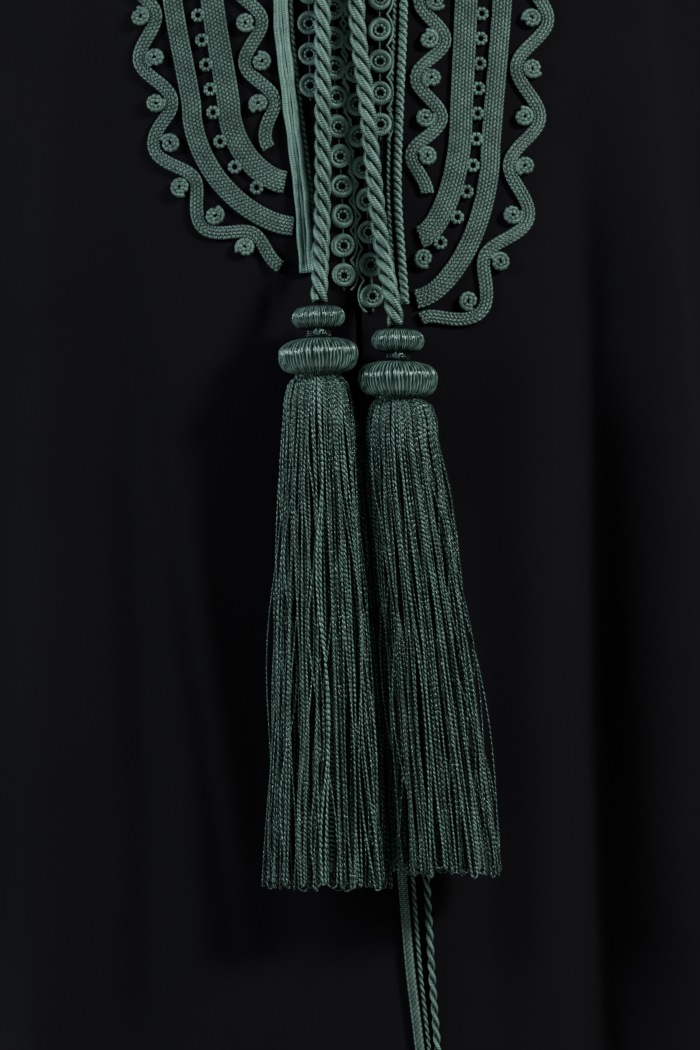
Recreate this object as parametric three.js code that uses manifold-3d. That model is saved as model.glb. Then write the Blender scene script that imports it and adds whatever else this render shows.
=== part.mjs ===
// A full-length black abaya with green braid work, worn shape, as a three.js scene graph.
//
// The cloth is four walls: a front with a neck slit, a back and two sleeves, filled out as on a
// wearer and open at the neck, the slit, the cuffs and the hem. On each side of the slit lie a
// lobe of flat and waving braids, a piping, two rows of rosettes and a twisted rope that ends in
// a tassel; the left lobe is the shorter one. Three tie cords hang from the foot of the slit,
// behind the tassels, and end in one knot.
//
// Millimetres. +Z is up and the front faces -Y. The origin lies midway between the two neck
// points, where the shoulders carry the garment. "left" is -X, as seen from the front.

import * as THREE from 'three';
import { mergeVertices } from 'three/addons/utils/BufferGeometryUtils.js';
import Module from 'manifold-3d';

const wasm = await Module();
wasm.setup();

// ---------------------------------------------------------------- driving dimensions

const CLOTH = 1.6;            // wall thickness
const SEAM = 0.3;             // space between two pieces at a seam
const ARMHOLE_SEAM = 0.6;     // wider there, because the seam bends both ways
const HEM_Z = -1420;
const KNEE_Z = -730;          // height at which the folds have their middle depth
const YOKE_Z = -400;          // below this line the panel's rows are level
const SLIT_FOOT_Z = -436;
const ARMPIT_Z = -287;
const CHEST_Z = -190;         // above this line the panels bend back to the shoulder seam
const NECK_HALF = 85;         // half the width of the neck
const NECK_POINT_Z = 8;
const NECK_DROP_FRONT = 78;
const NECK_DROP_BACK = 26;
const SHOULDER_SLOPE = 0.436;
const CHEST_POWER = 2.4;      // roundness of a level section
const SHOULDER_POWER = 1.6;   // roundness of the bend over the shoulder
const REACH_SLOPE = 0.17;     // how fast the upper sections widen above the armpit
// Rows of the walls: how many from the hem to the foot of the slit, and the levels from the yoke
// line to the top edge, which lie closer where the cloth bends over the shoulder.
const ROWS = {
  front: { lower: 9, upper: [0, 0.22, 0.42, 0.58, 0.72, 0.84, 0.93, 1] },
  back: { lower: 7, upper: [0, 0.3, 0.56, 0.76, 0.9, 1] },
};

// The armhole: an oval in the XZ plane, which the depth of the panels bends round the arm.
const ARMHOLE = { x: 222, z: -165, leanX: 20, halfHeight: 122, bulgeX: 8 };

// Level sections of the body, from the hem to the shoulders.
const SECTIONS = [
  { z: HEM_Z, halfWidth: 368, front: 218, back: 222 },
  { z: -1150, halfWidth: 332, front: 186, back: 190 },
  { z: -850, halfWidth: 290, front: 154, back: 156 },
  { z: -600, halfWidth: 260, front: 138, back: 126 },
  { z: YOKE_Z, halfWidth: 244, front: 134, back: 112 },
  { z: ARMPIT_Z, halfWidth: 242, front: 130, back: 114 },
  { z: CHEST_Z, halfWidth: 242, front: 122, back: 114 },
  { z: NECK_POINT_Z, halfWidth: 242, front: 116, back: 106 },
];

// The folds that show on the front: place in degrees round the body from the middle of the
// front, and rise of the cloth, at the yoke line, the knee line and the hem.
const FRONT_FOLDS = [
  { yokeAt: -44, kneeAt: -42, hemAt: -43, spread: 4.5, yoke: -4, knee: -8, hem: -15 },
  { yokeAt: -34, kneeAt: -30, hemAt: -32, spread: 4.5, yoke: 5, knee: 9, hem: 17 },
  { yokeAt: -28, kneeAt: -21, hemAt: -22, spread: 4.0, yoke: -5, knee: -9, hem: -15 },
  { yokeAt: -19, kneeAt: -14, hemAt: -12, spread: 4.0, yoke: 1, knee: 6, hem: 14 },
  { yokeAt: -7, kneeAt: -5, hemAt: -3, spread: 4.5, yoke: 0, knee: -3, hem: -13 },
  { yokeAt: 5, kneeAt: 5, hemAt: 7, spread: 4.5, yoke: 0, knee: 2, hem: 13 },
  { yokeAt: 13, kneeAt: 13, hemAt: 15, spread: 4.0, yoke: 0, knee: -3, hem: -10 },
  { yokeAt: 20, kneeAt: 19, hemAt: 21, spread: 3.5, yoke: 4, knee: 6, hem: 13 },
  { yokeAt: 27, kneeAt: 25.3, hemAt: 28, spread: 3.2, yoke: -7, knee: -13, hem: -16 },
  { yokeAt: 36, kneeAt: 36, hemAt: 37, spread: 4.0, yoke: 7, knee: 10, hem: 16 },
  { yokeAt: 46, kneeAt: 47, hemAt: 47, spread: 4.5, yoke: -4, knee: -9, hem: -15 },
];

// The rest of the skirt hangs in folds of about one size.
const SIDE_FOLDS = { first: 57, step: 11.2, perSide: 11, spread: 4.6, yoke: 2.5, knee: 8, hem: 15.5 };

// The sleeves: the line down the outside of the arm, the line under it, and the depth between.
const SLEEVE = [
  { t: 0.00, outX: 202, outZ: -43, inX: 242, inZ: -287, midY: 0, depth: 67 },
  { t: 0.14, outX: 244, outZ: -66, inX: 254, inZ: -306, midY: -1, depth: 80 },
  { t: 0.30, outX: 288, outZ: -118, inX: 263, inZ: -343, midY: -3, depth: 84 },
  { t: 0.48, outX: 322, outZ: -215, inX: 271, inZ: -400, midY: -8, depth: 82 },
  { t: 0.72, outX: 350, outZ: -360, inX: 281, inZ: -500, midY: -20, depth: 79 },
  { t: 1.00, outX: 392, outZ: -590, inX: 300, inZ: -640, midY: -40, depth: 84 },
];
const UNDERARM = { from: 0.8, over: 0.15 };
const SLEEVE_ROWS = 7;
const SLEEVE_FOLD = 3.5;

// The slit's middle line and half its width.
const SLIT = [
  { z: SLIT_FOOT_Z, x: 4, half: 1.2 },
  { z: -391, x: 2.7, half: 1.5 },
  { z: -256, x: -5.6, half: 3.4 },
  { z: -70, x: -3.5, half: 6 },
];

// The braid work of each side. A lobe runs straight down at top, slants to bend between
// LEAN_TOP_Z and bendZ, then turns in to the slit along a quarter oval to end and footZ.
const TRIM_TOP_Z = -32;
const LEAN_TOP_Z = -250;
const LIFT = 0.5;             // from the cloth to the underside of what lies on it
const LOBES = {
  left: {
    outer: { side: -1, top: 82, bend: 73, bendZ: -300, end: 26.5, footZ: -357 },
    inner: { side: -1, top: 64, bend: 56, bendZ: -300, end: 30.2, footZ: -337 },
  },
  right: {
    outer: { side: 1, top: 68.5, bend: 63, bendZ: -318, end: 29, footZ: -390 },
    inner: { side: 1, top: 52, bend: 49.5, bendZ: -306, end: 30.5, footZ: -362 },
  },
};
const LOBE_POWER = { cosine: 1.25, sine: 1.0 };
const OUTER_BRAID = { width: 9, thick: 1.9, topZ: TRIM_TOP_Z };
const INNER_BRAID = { width: 10.5, thick: 1.9, topZ: -58 };
// A wave swings about a middle line, which keeps off from its lobe. Lengths run along that middle line.
const WAVE = { width: 6.2, thick: 1.9 };
const WAVES = {
  left: {
    outer: { off: 14.1, swing: 5.5, length: 40, topZ: -34, phase: 0.08, stop: 2 },
    inner: { off: -15.6, swing: 5.4, length: 38, topZ: -64, phase: 0.49, stop: 8 },
  },
  right: {
    outer: { off: 15, swing: 6.2, length: 45, topZ: -34, phase: 0.18, stop: 0 },
    inner: { off: -15.1, swing: 6.1, length: 35.5, topZ: -64, phase: 0.39, stop: 12 },
  },
};
const POINTS_PER_WAVE = 5;
const ROSETTE = { radius: 4.9, thick: 2, sides: 5, lift: 0.9 };

// Lines beside the slit, each a short table of its place down the front.
const PIPING = {
  left: { width: 6.6, thick: 3.2, line: [
    { z: -378, x: -20.5 }, { z: -342, x: -23 }, { z: -302, x: -28 }, { z: -256, x: -32.5 }, { z: -66, x: -33 }] },
  right: { width: 4.6, thick: 3.2, line: [
    { z: -392, x: 24 }, { z: -342, x: 20.6 }, { z: -302, x: 21.6 }, { z: -256, x: 23.4 }, { z: -66, x: 24 }] },
};
const ROW = { pitch: 14.4, thick: 2.2, wide: 9.4, narrow: 2.4 };
const ROSETTE_ROWS = {
  left: {
    inner: { from: -300, to: -74, line: [{ z: -300, x: -18.6 }, { z: -256, x: -19.4 }, { z: -74, x: -20 }] },
    edge: { from: -386, to: -76, pitch: 13.4, line: [
      { z: -386, x: -3.4 }, { z: -340, x: -4.8 }, { z: -290, x: -7.7 }, { z: -256, x: -8.8 }, { z: -76, x: -9.4 }] },
  },
  right: {
    inner: { from: -318, to: -74, line: [{ z: -318, x: 12.7 }, { z: -256, x: 12.4 }, { z: -74, x: 14.5 }] },
    edge: { from: -396, to: -76, line: [
      { z: -396, x: 9.6 }, { z: -340, x: 6.4 }, { z: -314, x: 3.1 }, { z: -256, x: 1 }, { z: -76, x: 2.6 }] },
  },
};
const ROPE = { radius: 3.8, lobe: 0.7, pitch: 32, steps: 46, sides: 6, rest: 7 };
const ROPES = {
  left: { line: [{ z: -392.2, x: -14.8 }, { z: -340, x: -13.2 }, { z: -256, x: -13.4 }, { z: -74, x: -14.2 }] },
  right: { line: [{ z: -402.6, x: 19.8 }, { z: -360, x: 12.6 }, { z: -302, x: 6.6 }, { z: -256, x: 2 }, { z: -74, x: 6 }] },
};
const ROPE_RISE = 40;         // length over which a rope lifts off the cloth to its tassel

// A tassel: its head is turned about an upright line, in heights below the head's top.
const HEAD = [
  { r: 0, h: -35 }, { r: 10.4, h: -35 }, { r: 10.4, h: -30.8 }, { r: 13, h: -29.6 }, { r: 17.2, h: -24.6 },
  { r: 17.2, h: -20 }, { r: 13.4, h: -16 }, { r: 5.2, h: -14.4 }, { r: 5.2, h: -11.2 }, { r: 9.2, h: -9.4 },
  { r: 11.2, h: -5.6 }, { r: 10.2, h: -3 }, { r: 6, h: -0.6 }, { r: 0, h: 0 },
];
const HEAD_SIDES = 14;
const TASSEL = { lift: 21, depthTop: 13.6, depthFoot: 15, rootRadius: 8.6, rings: [[1, 20], [0.66, 13], [0.3, 6]] };
const STRAND = { root: 0.85, foot: 1.5, stations: [0, 0.03, 0.09, 1] };
const SKIRT_OPEN = { share: 0.09, power: 0.8 };
const TASSELS = {
  left: { x: -15, topZ: -393, footZ: -654, edges: [
    { z: -654, from: -37.6, to: 17.6 }, { z: -548, from: -34.6, to: 10.8 }, { z: -443, from: -31, to: 1.6 }] },
  right: { x: 20.4, topZ: -403.4, footZ: -648, edges: [
    { z: -648, from: 20.4, to: 66.4 }, { z: -548, from: 13.8, to: 53 }, { z: -452, from: 5.4, to: 39 }] },
};

// The tie cords, by the places that each one passes as it hangs down the front.
const TIES = {
  tie_braid: { width: 4.8, thick: 2.8, route: [
    [4.0, -444], [5.2, -460], [7.0, -480], [9.4, -504], [11.8, -528], [14.2, -552], [16.4, -576], [18.6, -600],
    [20.6, -624], [22.4, -648], [24.2, -670], [26.2, -692], [28.6, -712], [31.0, -732], [33.0, -752], [34.6, -772]] },
  tie_strand: { width: 2.2, thick: 2.2, route: [
    [9.2, -444], [10.2, -460], [11.8, -480], [14.0, -504], [16.4, -528], [18.8, -552], [21.2, -576], [23.4, -600],
    [25.4, -624], [27.2, -648], [28.8, -670], [30.6, -692], [32.8, -712], [35.0, -732], [37.0, -752], [38.6, -772]] },
  tie_twist: { width: 3.4, thick: 3.4, route: [
    [14.0, -444], [15.2, -460], [17.0, -480], [19.6, -504], [22.4, -528], [25.2, -552], [27.8, -576], [30.2, -600],
    [32.0, -624], [33.4, -648], [34.6, -670], [35.8, -692], [37.2, -712], [38.8, -732], [40.4, -752], [42.0, -772]] },
};
const TIE_STEPS = 18;
const TIE_SIDES = 8;
const TIE_LIFT = 0.9;         // from the cloth to a tie cord, whose steps are long
// The knot that holds the three ends together, turned and then pressed flat against the cloth.
const KNOT = {
  x: 38.5, topZ: -772.6, flat: 0.72, sides: 12,
  profile: [{ r: 0, h: -17 }, { r: 5.2, h: -16 }, { r: 8.4, h: -11 }, { r: 8.6, h: -5 }, { r: 6.6, h: 0 }, { r: 0, h: 0 }],
};

const GREEN = { color: 0x3a5c50, roughness: 0.48, metalness: 0 };
const BLACK = { color: 0x17171c, roughness: 0.88, metalness: 0 };

// ---------------------------------------------------------------- small tools

const clamp = (v, lo, hi) => Math.min(hi, Math.max(lo, v));
const mix = (a, b, t) => a + (b - a) * t;
const rad = (deg) => deg * Math.PI / 180;
const smooth = (t) => { const c = clamp(t, 0, 1); return c * c * (3 - 2 * c); };

// One column of a table at a place between its rows, as a smooth cubic through them.
function along(rows, key, column, at) {
  const last = rows.length - 1;
  if (at <= rows[0][key]) return rows[0][column];
  if (at >= rows[last][key]) return rows[last][column];
  let i = 0;
  while (rows[i + 1][key] < at) i += 1;
  const slope = (j) => {
    const lo = rows[Math.max(j - 1, 0)];
    const hi = rows[Math.min(j + 1, last)];
    return (hi[column] - lo[column]) / (hi[key] - lo[key]);
  };
  const span = rows[i + 1][key] - rows[i][key];
  const t = (at - rows[i][key]) / span;
  const s = t * t;
  const c = s * t;
  return (2 * c - 3 * s + 1) * rows[i][column] + (c - 2 * s + t) * span * slope(i)
    + (3 * s - 2 * c) * rows[i + 1][column] + (c - s) * span * slope(i + 1);
}

// A closed mesh from points and faces, turned inside out if its volume comes out negative.
function closedMesh(points, faces) {
  let volume = 0;
  for (const [a, b, c] of faces) volume += points[a].dot(new THREE.Vector3().crossVectors(points[b], points[c]));
  const geometry = new THREE.BufferGeometry();
  geometry.setAttribute('position', new THREE.Float32BufferAttribute(points.flatMap((p) => [p.x, p.y, p.z]), 3));
  geometry.setIndex(faces.flatMap((f) => (volume < 0 ? [f[0], f[2], f[1]] : f)));
  return geometry;
}

// A solid through rings of equal length, each a closed loop of points, with flat ends.
function loft(rings) {
  const n = rings[0].length;
  const faces = [];
  for (let r = 0; r < rings.length - 1; r += 1) {
    for (let k = 0; k < n; k += 1) {
      const a = r * n + k;
      const b = r * n + (k + 1) % n;
      faces.push([a, b, b + n], [a, b + n, a + n]);
    }
  }
  const end = (rings.length - 1) * n;
  for (let k = 1; k < n - 1; k += 1) faces.push([0, k + 1, k], [end, end + k, end + k + 1]);
  return closedMesh(rings.flat(), faces);
}

const toSolid = (geometry) => new wasm.Manifold(new wasm.Mesh({
  numProp: 3,
  vertProperties: new Float32Array(geometry.getAttribute('position').array),
  triVerts: new Uint32Array(geometry.index.array),
}));

// Several overlapping closed meshes as one.
function fused(geometries) {
  const mesh = wasm.Manifold.union(geometries.map(toSolid)).getMesh();
  const geometry = new THREE.BufferGeometry();
  geometry.setAttribute('position', new THREE.Float32BufferAttribute(mesh.vertProperties, 3));
  geometry.setIndex(Array.from(mesh.triVerts));
  return geometry;
}

// ---------------------------------------------------------------- the cloth's form

const shoulderLine = (x) => NECK_POINT_Z - SHOULDER_SLOPE * (Math.abs(x) - NECK_HALF);

// Half the width of the level section at a height, which runs on past the armhole above the armpit.
const reachAt = (z) => along(SECTIONS, 'z', 'halfWidth', z) + REACH_SLOPE * Math.max(0, z - ARMPIT_Z);

// Distance of a panel from the plane of the side seams, before any fold.
function panelDepth(x, z, column) {
  const across = clamp(Math.abs(x) / reachAt(z), 0, 1);
  const rise = clamp((z - CHEST_Z) / (shoulderLine(x) - CHEST_Z), 0, 1);
  const round = (1 - across ** CHEST_POWER) ** (1 / CHEST_POWER);
  const over = (1 - rise ** SHOULDER_POWER) ** (1 / SHOULDER_POWER);
  return along(SECTIONS, 'z', column, z) * round * over;
}

const allFolds = [...FRONT_FOLDS];
for (const side of [-1, 1]) {
  for (let k = 0; k < SIDE_FOLDS.perSide; k += 1) {
    const at = side * (SIDE_FOLDS.first + k * SIDE_FOLDS.step + 1.5 * Math.sin(2.3 * k + side));
    const size = (k % 2 ? -1 : 1) * (1 + 0.15 * Math.sin(1.7 * k + 2 * side));
    allFolds.push({
      yokeAt: at, kneeAt: at, hemAt: at, spread: SIDE_FOLDS.spread,
      yoke: size * SIDE_FOLDS.yoke, knee: size * SIDE_FOLDS.knee, hem: size * SIDE_FOLDS.hem,
    });
  }
}

// Rise of the cloth at an angle round the body: each fold is a bell across, and its place and
// height pass smoothly from the yoke line to the knee line and the hem.
function foldRise(angle, z) {
  const rows = (f, names) => [
    { z: HEM_Z, v: f[names[0]] }, { z: KNEE_Z, v: f[names[1]] }, { z: YOKE_Z, v: f[names[2]] }];
  let rise = 0;
  for (const f of allFolds) {
    const centre = along(rows(f, ['hemAt', 'kneeAt', 'yokeAt']), 'z', 'v', z);
    const away = ((angle - centre + 540) % 360) - 180;
    rise += along(rows(f, ['hem', 'knee', 'yoke']), 'z', 'v', z) * Math.exp(-0.5 * (away / f.spread) ** 2);
  }
  return rise * (1 - smooth((z - YOKE_Z) / (ARMPIT_Z - YOKE_Z)));
}

// A point of a panel over a place in the XZ plane; face is -1 on the front and 1 on the back.
function panelPoint(x, z, face) {
  const column = face < 0 ? 'front' : 'back';
  const depth = panelDepth(x, z, column);
  const turn = Math.asin(clamp(x / along(SECTIONS, 'z', 'halfWidth', z), -1, 1)) * 180 / Math.PI;
  const fold = foldRise(face < 0 ? turn : 180 - turn, z);
  const slope = depth > 1e-6 ? panelDepth(x + 0.5, z, column) - panelDepth(x - 0.5, z, column) : 0;
  const length = Math.hypot(slope, 1);
  const out = depth > 1e-6 ? { x: -slope / length, y: 1 / length } : { x: Math.sign(x), y: 0 };
  return new THREE.Vector3(x + fold * out.x, face * (SEAM / 2 + depth + fold * out.y), z);
}

// How far the front lies in front of the origin at a place, folds included.
const frontDepth = (x, z) => {
  const turn = Math.asin(x / along(SECTIONS, 'z', 'halfWidth', z)) * 180 / Math.PI;
  return SEAM / 2 + panelDepth(x, z, 'front') + foldRise(turn, z);
};
const onFront = (x, z, lift) => new THREE.Vector3(x, -frontDepth(x, z) - lift, z);

// ---------------------------------------------------------------- walls

// Unit normals of a grid of points, from the directions along its rows and columns.
function gridNormals(grid, closed) {
  const rows = grid.length;
  const cols = grid[0].length;
  const at = (r, c) => grid[clamp(r, 0, rows - 1)][closed ? (c + cols) % cols : clamp(c, 0, cols - 1)];
  return grid.map((row, r) => row.map((_, c) => {
    const across = new THREE.Vector3().subVectors(at(r, c + 1), at(r, c - 1));
    const up = new THREE.Vector3().subVectors(at(r + 1, c), at(r - 1, c));
    return across.cross(up).normalize();
  }));
}

// A wall of the cloth's thickness behind a grid of points. closed joins the last column to the
// first. isHole says which cells are left open. Cells from mirrorFrom on are cut into triangles the
// other way, so that the two halves of a panel mirror each other.
function wall(grid, normals, closed, isHole, mirrorFrom = Infinity) {
  const rows = grid.length;
  const cols = grid[0].length;
  const cells = closed ? cols : cols - 1;
  const points = [...grid.flat(), ...grid.flatMap((row, r) => row.map(
    (p, c) => p.clone().addScaledVector(normals[r][c], -CLOTH)))];
  const id = (r, c) => r * cols + (c % cols);
  const inner = rows * cols;
  const present = (r, c) => {
    if (r < 0 || r >= rows - 1) return false;
    if (!closed && (c < 0 || c >= cells)) return false;
    return !isHole(r, (c + cells) % cells);
  };
  const faces = [];
  for (let r = 0; r < rows - 1; r += 1) {
    for (let c = 0; c < cells; c += 1) {
      if (!present(r, c)) continue;
      const corners = [id(r, c), id(r, c + 1), id(r + 1, c + 1), id(r + 1, c)];
      const shift = c >= mirrorFrom ? 1 : 0;
      const [p, q, s, t] = [0, 1, 2, 3].map((k) => corners[(k + shift) % 4]);
      faces.push([p, q, s], [p, s, t], [p + inner, s + inner, q + inner], [p + inner, t + inner, s + inner]);
      const beyond = [present(r - 1, c), present(r, c + 1), present(r + 1, c), present(r, c - 1)];
      beyond.forEach((there, k) => {
        if (there) return;
        const a = corners[k];
        const b = corners[(k + 1) % 4];
        if (shift) faces.push([b, a, b + inner], [a, a + inner, b + inner]);
        else faces.push([b, a, a + inner], [b, a + inner, b + inner]);
      });
    }
  }
  const used = [...new Set(faces.flat())].sort((a, b) => a - b);
  const renumber = new Map(used.map((old, k) => [old, k]));
  return closedMesh(used.map((k) => points[k]), faces.map((f) => f.map((k) => renumber.get(k))));
}

// ---------------------------------------------------------------- front and back

const NECK_END = 0.34;        // share of the half panel whose columns end at the neckline
const SHOULDER_END = 0.66;    // and at the shoulder seam; the rest end at the armhole
const SHARES = [
  0, 0.055, 0.11, 0.17, 0.225, 0.28, NECK_END, 0.39, 0.44, 0.49, 0.545, 0.6, SHOULDER_END,
  0.72, 0.78, 0.84, 0.9, 0.95, 1,
];

function neckline(share, drop) {
  const turn = rad(90 * share / NECK_END);
  return { x: NECK_HALF * Math.sin(turn), z: NECK_POINT_Z - drop * Math.cos(turn) ** 1.2 };
}

function armhole(turn) {
  return {
    x: ARMHOLE.x - ARMHOLE.leanX * Math.cos(turn) + ARMHOLE.bulgeX * Math.sin(turn),
    z: ARMHOLE.z + ARMHOLE.halfHeight * Math.cos(turn),
  };
}

// Where a column of a half panel ends at the top: neckline, shoulder seam, then armhole.
function topEdge(share, drop) {
  if (share <= NECK_END) return neckline(share, drop);
  if (share <= SHOULDER_END) {
    const t = (share - NECK_END) / (SHOULDER_END - NECK_END);
    const x = mix(NECK_HALF, armhole(0).x, t);
    return { x, z: shoulderLine(x) };
  }
  return armhole(Math.PI * (share - SHOULDER_END) / (1 - SHOULDER_END));
}

const slitEdge = (side, z) => along(SLIT, 'z', 'x', z) + side * along(SLIT, 'z', 'half', z);

function panel(face) {
  const isFront = face < 0;
  const rows = isFront ? ROWS.front : ROWS.back;
  const drop = isFront ? NECK_DROP_FRONT : NECK_DROP_BACK;
  const right = SHARES.slice(1);
  const columns = [
    ...right.map((u) => [-1, u]).reverse(),
    ...(isFront ? [[-1, 0], [1, 0]] : [[1, 0]]),
    ...right.map((u) => [1, u]),
  ];
  if (!isFront) columns.reverse();
  const place = (side, share, level) => {
    const top = topEdge(share, drop);
    const z = level <= 0 ? mix(YOKE_Z, HEM_Z, -level) : mix(YOKE_Z, top.z, level);
    if (isFront && share === 0) return { x: slitEdge(side, z), z };
    const across = mix(Math.sin(rad(90 * share)), top.x / reachAt(top.z), Math.max(0, level));
    return { x: side * reachAt(z) * across, z };
  };
  const span = YOKE_Z - HEM_Z;
  const footLevel = (SLIT_FOOT_Z - YOKE_Z) / span;
  const levels = [];
  for (let k = 0; k <= rows.lower; k += 1) levels.push(mix(-1, footLevel, k / rows.lower));
  levels.push(...rows.upper);
  const grid = levels.map((level) => columns.map(([side, share]) => {
    const p = place(side, share, level);
    return panelPoint(p.x, p.z, face);
  }));
  const normals = gridNormals(grid, false);
  const flat = (n) => n.setY(0).normalize();
  const top = levels.length - 1;
  grid.forEach((row, r) => { flat(normals[r][0]); flat(normals[r][row.length - 1]); });
  columns.forEach(([, share], c) => {
    if (share >= NECK_END && share <= SHOULDER_END) flat(normals[top][c]);
  });
  const slitCell = SHARES.length - 1;
  const isHole = (r, c) => isFront && c === slitCell && r >= rows.lower;
  const geometry = wall(grid, normals, false, isHole, isFront ? slitCell + 1 : slitCell);
  return { geometry, columns, edge: grid[top], normals: normals[top] };
}

const front = panel(-1);
const back = panel(1);

// ---------------------------------------------------------------- sleeves

// A sleeve starts on the armhole's own points, a seam's space beyond the panels' edge, and turns
// smoothly into ovals between the two lines of the table.
function sleeve(side) {
  const start = (made) => made.columns
    .map(([s, share], c) => ({ s, share, point: made.edge[c], normal: made.normals[c] }))
    .filter((e) => e.s === side && e.share >= SHOULDER_END)
    .sort((a, b) => a.share - b.share);
  const ahead = start(front);
  const behind = start(back).slice(1, -1).reverse();
  const turnOf = (share) => Math.PI * (share - SHOULDER_END) / (1 - SHOULDER_END);
  const ring = [
    ...ahead.map((e) => ({ ...e, turn: turnOf(e.share) })),
    ...behind.map((e) => ({ ...e, turn: 2 * Math.PI - turnOf(e.share) })),
  ];
  const seam = ring.map((e, c) => {
    const next = ring[(c + 1) % ring.length].point;
    const last = ring[(c + ring.length - 1) % ring.length].point;
    const beyond = new THREE.Vector3().subVectors(next, last).cross(e.normal).normalize();
    if (beyond.dot(new THREE.Vector3(side, 0, 0.3)) < 0) beyond.negate();
    const level = Math.sin(e.turn) ** 2 > 1e-9 ? e.point : e.point.clone().setY(0);
    return level.clone().addScaledVector(beyond, ARMHOLE_SEAM);
  });
  const grid = [seam];
  for (let k = 1; k <= SLEEVE_ROWS; k += 1) {
    const t = k / SLEEVE_ROWS;
    const own = (1 - t) ** 3;
    const at = (column) => along(SLEEVE, 't', column, t);
    grid.push(ring.map((e) => {
      const cos = Math.cos(e.turn);
      const sin = Math.sin(e.turn);
      const fold = 1 + SLEEVE_FOLD / at('depth') * smooth(t * 3) * Math.sin(3 * e.turn + 2.2 * t);
      const x = (at('outX') + at('inX')) / 2 + fold * cos * (at('outX') - at('inX')) / 2 + own * ARMHOLE.bulgeX * sin;
      const z = (at('outZ') + at('inZ')) / 2 + fold * cos * (at('outZ') - at('inZ')) / 2;
      const y = at('midY') - fold * sin * at('depth');
      return new THREE.Vector3(side * x, mix(y, e.point.y, own), z);
    }));
  }
  const normals = gridNormals(grid, true);
  const centre = grid[2].reduce((sum, p) => sum.add(p), new THREE.Vector3()).divideScalar(ring.length);
  if (normals[2][0].dot(new THREE.Vector3().subVectors(grid[2][0], centre)) < 0) {
    normals.flat().forEach((n) => n.negate());
  }
  // Under the arm the sleeve folds back sharply from the panels, and keeps its own direction there.
  ring.forEach((e, c) => {
    const own = smooth((Math.abs(Math.sin(e.turn / 2)) - UNDERARM.from) / UNDERARM.over);
    normals[0][c].lerpVectors(e.normal, normals[0][c].clone(), own).normalize();
  });
  return wall(grid, normals, true, () => false);
}

// ---------------------------------------------------------------- braids on the front

// Points down a lobe, from its top to its foot: straight, a slant, then a quarter oval.
function lobeLine(lobe, topZ) {
  const line = [];
  const straight = 9;
  for (let k = 0; k < straight; k += 1) line.push({ x: lobe.top, z: mix(topZ, LEAN_TOP_Z, k / straight) });
  line.push({ x: lobe.top, z: LEAN_TOP_Z });
  const arc = 9;
  for (let k = 0; k <= arc; k += 1) {
    const turn = rad(90 * k / arc);
    line.push({
      x: lobe.end + (lobe.bend - lobe.end) * Math.max(Math.cos(turn), 0) ** LOBE_POWER.cosine,
      z: lobe.bendZ + (lobe.footZ - lobe.bendZ) * Math.sin(turn) ** LOBE_POWER.sine,
    });
  }
  return line.map((p) => new THREE.Vector3(lobe.side * p.x, 0, p.z));
}

// A smooth curve through points.
function curveThrough(points) {
  const curve = new THREE.CatmullRomCurve3(points, false, 'centripetal');
  curve.arcLengthDivisions = 400;
  return curve;
}

// The point a distance s along a curve in the front's plane, moved away to its side.
function besideCurve(curve, s, away) {
  const share = Math.min(s / curve.getLength(), 1);
  const p = curve.getPointAt(share);
  const d = curve.getTangentAt(share);
  return new THREE.Vector3(p.x - away * d.z, 0, p.z + away * d.x);
}

// The middle line of a wave: it keeps beside the lobe.
function middleLine(lobe, wave) {
  const curve = curveThrough(lobeLine(lobe, wave.topZ));
  const steps = 48;
  const total = curve.getLength();
  return curveThrough(Array.from({ length: steps + 1 }, (_, k) => besideCurve(curve, total * k / steps, lobe.side * wave.off)));
}

// A ribbon on the front: wide and thick may be numbers or functions of the point's number.
function ribbon(points, wide, thick, lift) {
  const rings = points.map((p, k) => {
    const next = points[Math.min(k + 1, points.length - 1)];
    const last = points[Math.max(k - 1, 0)];
    const d = new THREE.Vector3().subVectors(next, last).normalize();
    const half = (typeof wide === 'function' ? wide(k) : wide) / 2;
    const at = (share, up) => onFront(p.x - share * half * d.z, p.z + share * half * d.x, lift + up);
    return [at(-1, 0), at(1, 0), at(0.8, thick), at(-0.8, thick)];
  });
  return loft(rings);
}

// A rosette: a low boss on the front.
function rosette(x, z, radius, lift) {
  const ring = (size, up) => Array.from({ length: ROSETTE.sides }, (_, k) => {
    const turn = 2 * Math.PI * k / ROSETTE.sides;
    return onFront(x + size * Math.cos(turn), z + size * Math.sin(turn), lift + up);
  });
  return loft([ring(radius, 0), ring(radius * 0.8, ROSETTE.thick)]);
}

function braid(lobe, kind) {
  return ribbon(lobeLine(lobe, kind.topZ), kind.width, kind.thick, LIFT);
}

// The waving braid beside a lobe, with a rosette in each of its bends.
function waveBraid(lobe, wave) {
  const middle = middleLine(lobe, wave);
  const total = middle.getLength();
  const count = Math.round(POINTS_PER_WAVE * total / wave.length);
  const points = Array.from({ length: count + 1 }, (_, k) => {
    const s = k / count * (total - wave.stop);
    return besideCurve(middle, s, lobe.side * wave.swing * Math.sin(2 * Math.PI * (s / wave.length + wave.phase)));
  });
  const solids = [ribbon(points, WAVE.width, WAVE.thick, LIFT)];
  const bends = Math.floor(2 * (total / wave.length + wave.phase) - 0.5);
  for (let k = 0; k <= bends; k += 1) {
    const s = (0.25 + 0.5 * k - wave.phase) * wave.length;
    if (s < ROSETTE.radius || s > total - wave.stop - ROSETTE.radius) continue;
    const away = (k % 2 ? -1 : 1) * (wave.swing - ROSETTE.radius - WAVE.width / 2 + 0.7);
    const p = besideCurve(middle, s, lobe.side * away);
    solids.push(rosette(p.x, p.z, ROSETTE.radius, ROSETTE.lift));
  }
  return fused(solids);
}

// Points down one of the lines beside the slit.
const downLine = (line, from, to, count) => Array.from({ length: count + 1 }, (_, k) => {
  const z = mix(to, from, k / count);
  return new THREE.Vector3(along(line, 'z', 'x', z), 0, z);
});

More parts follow.
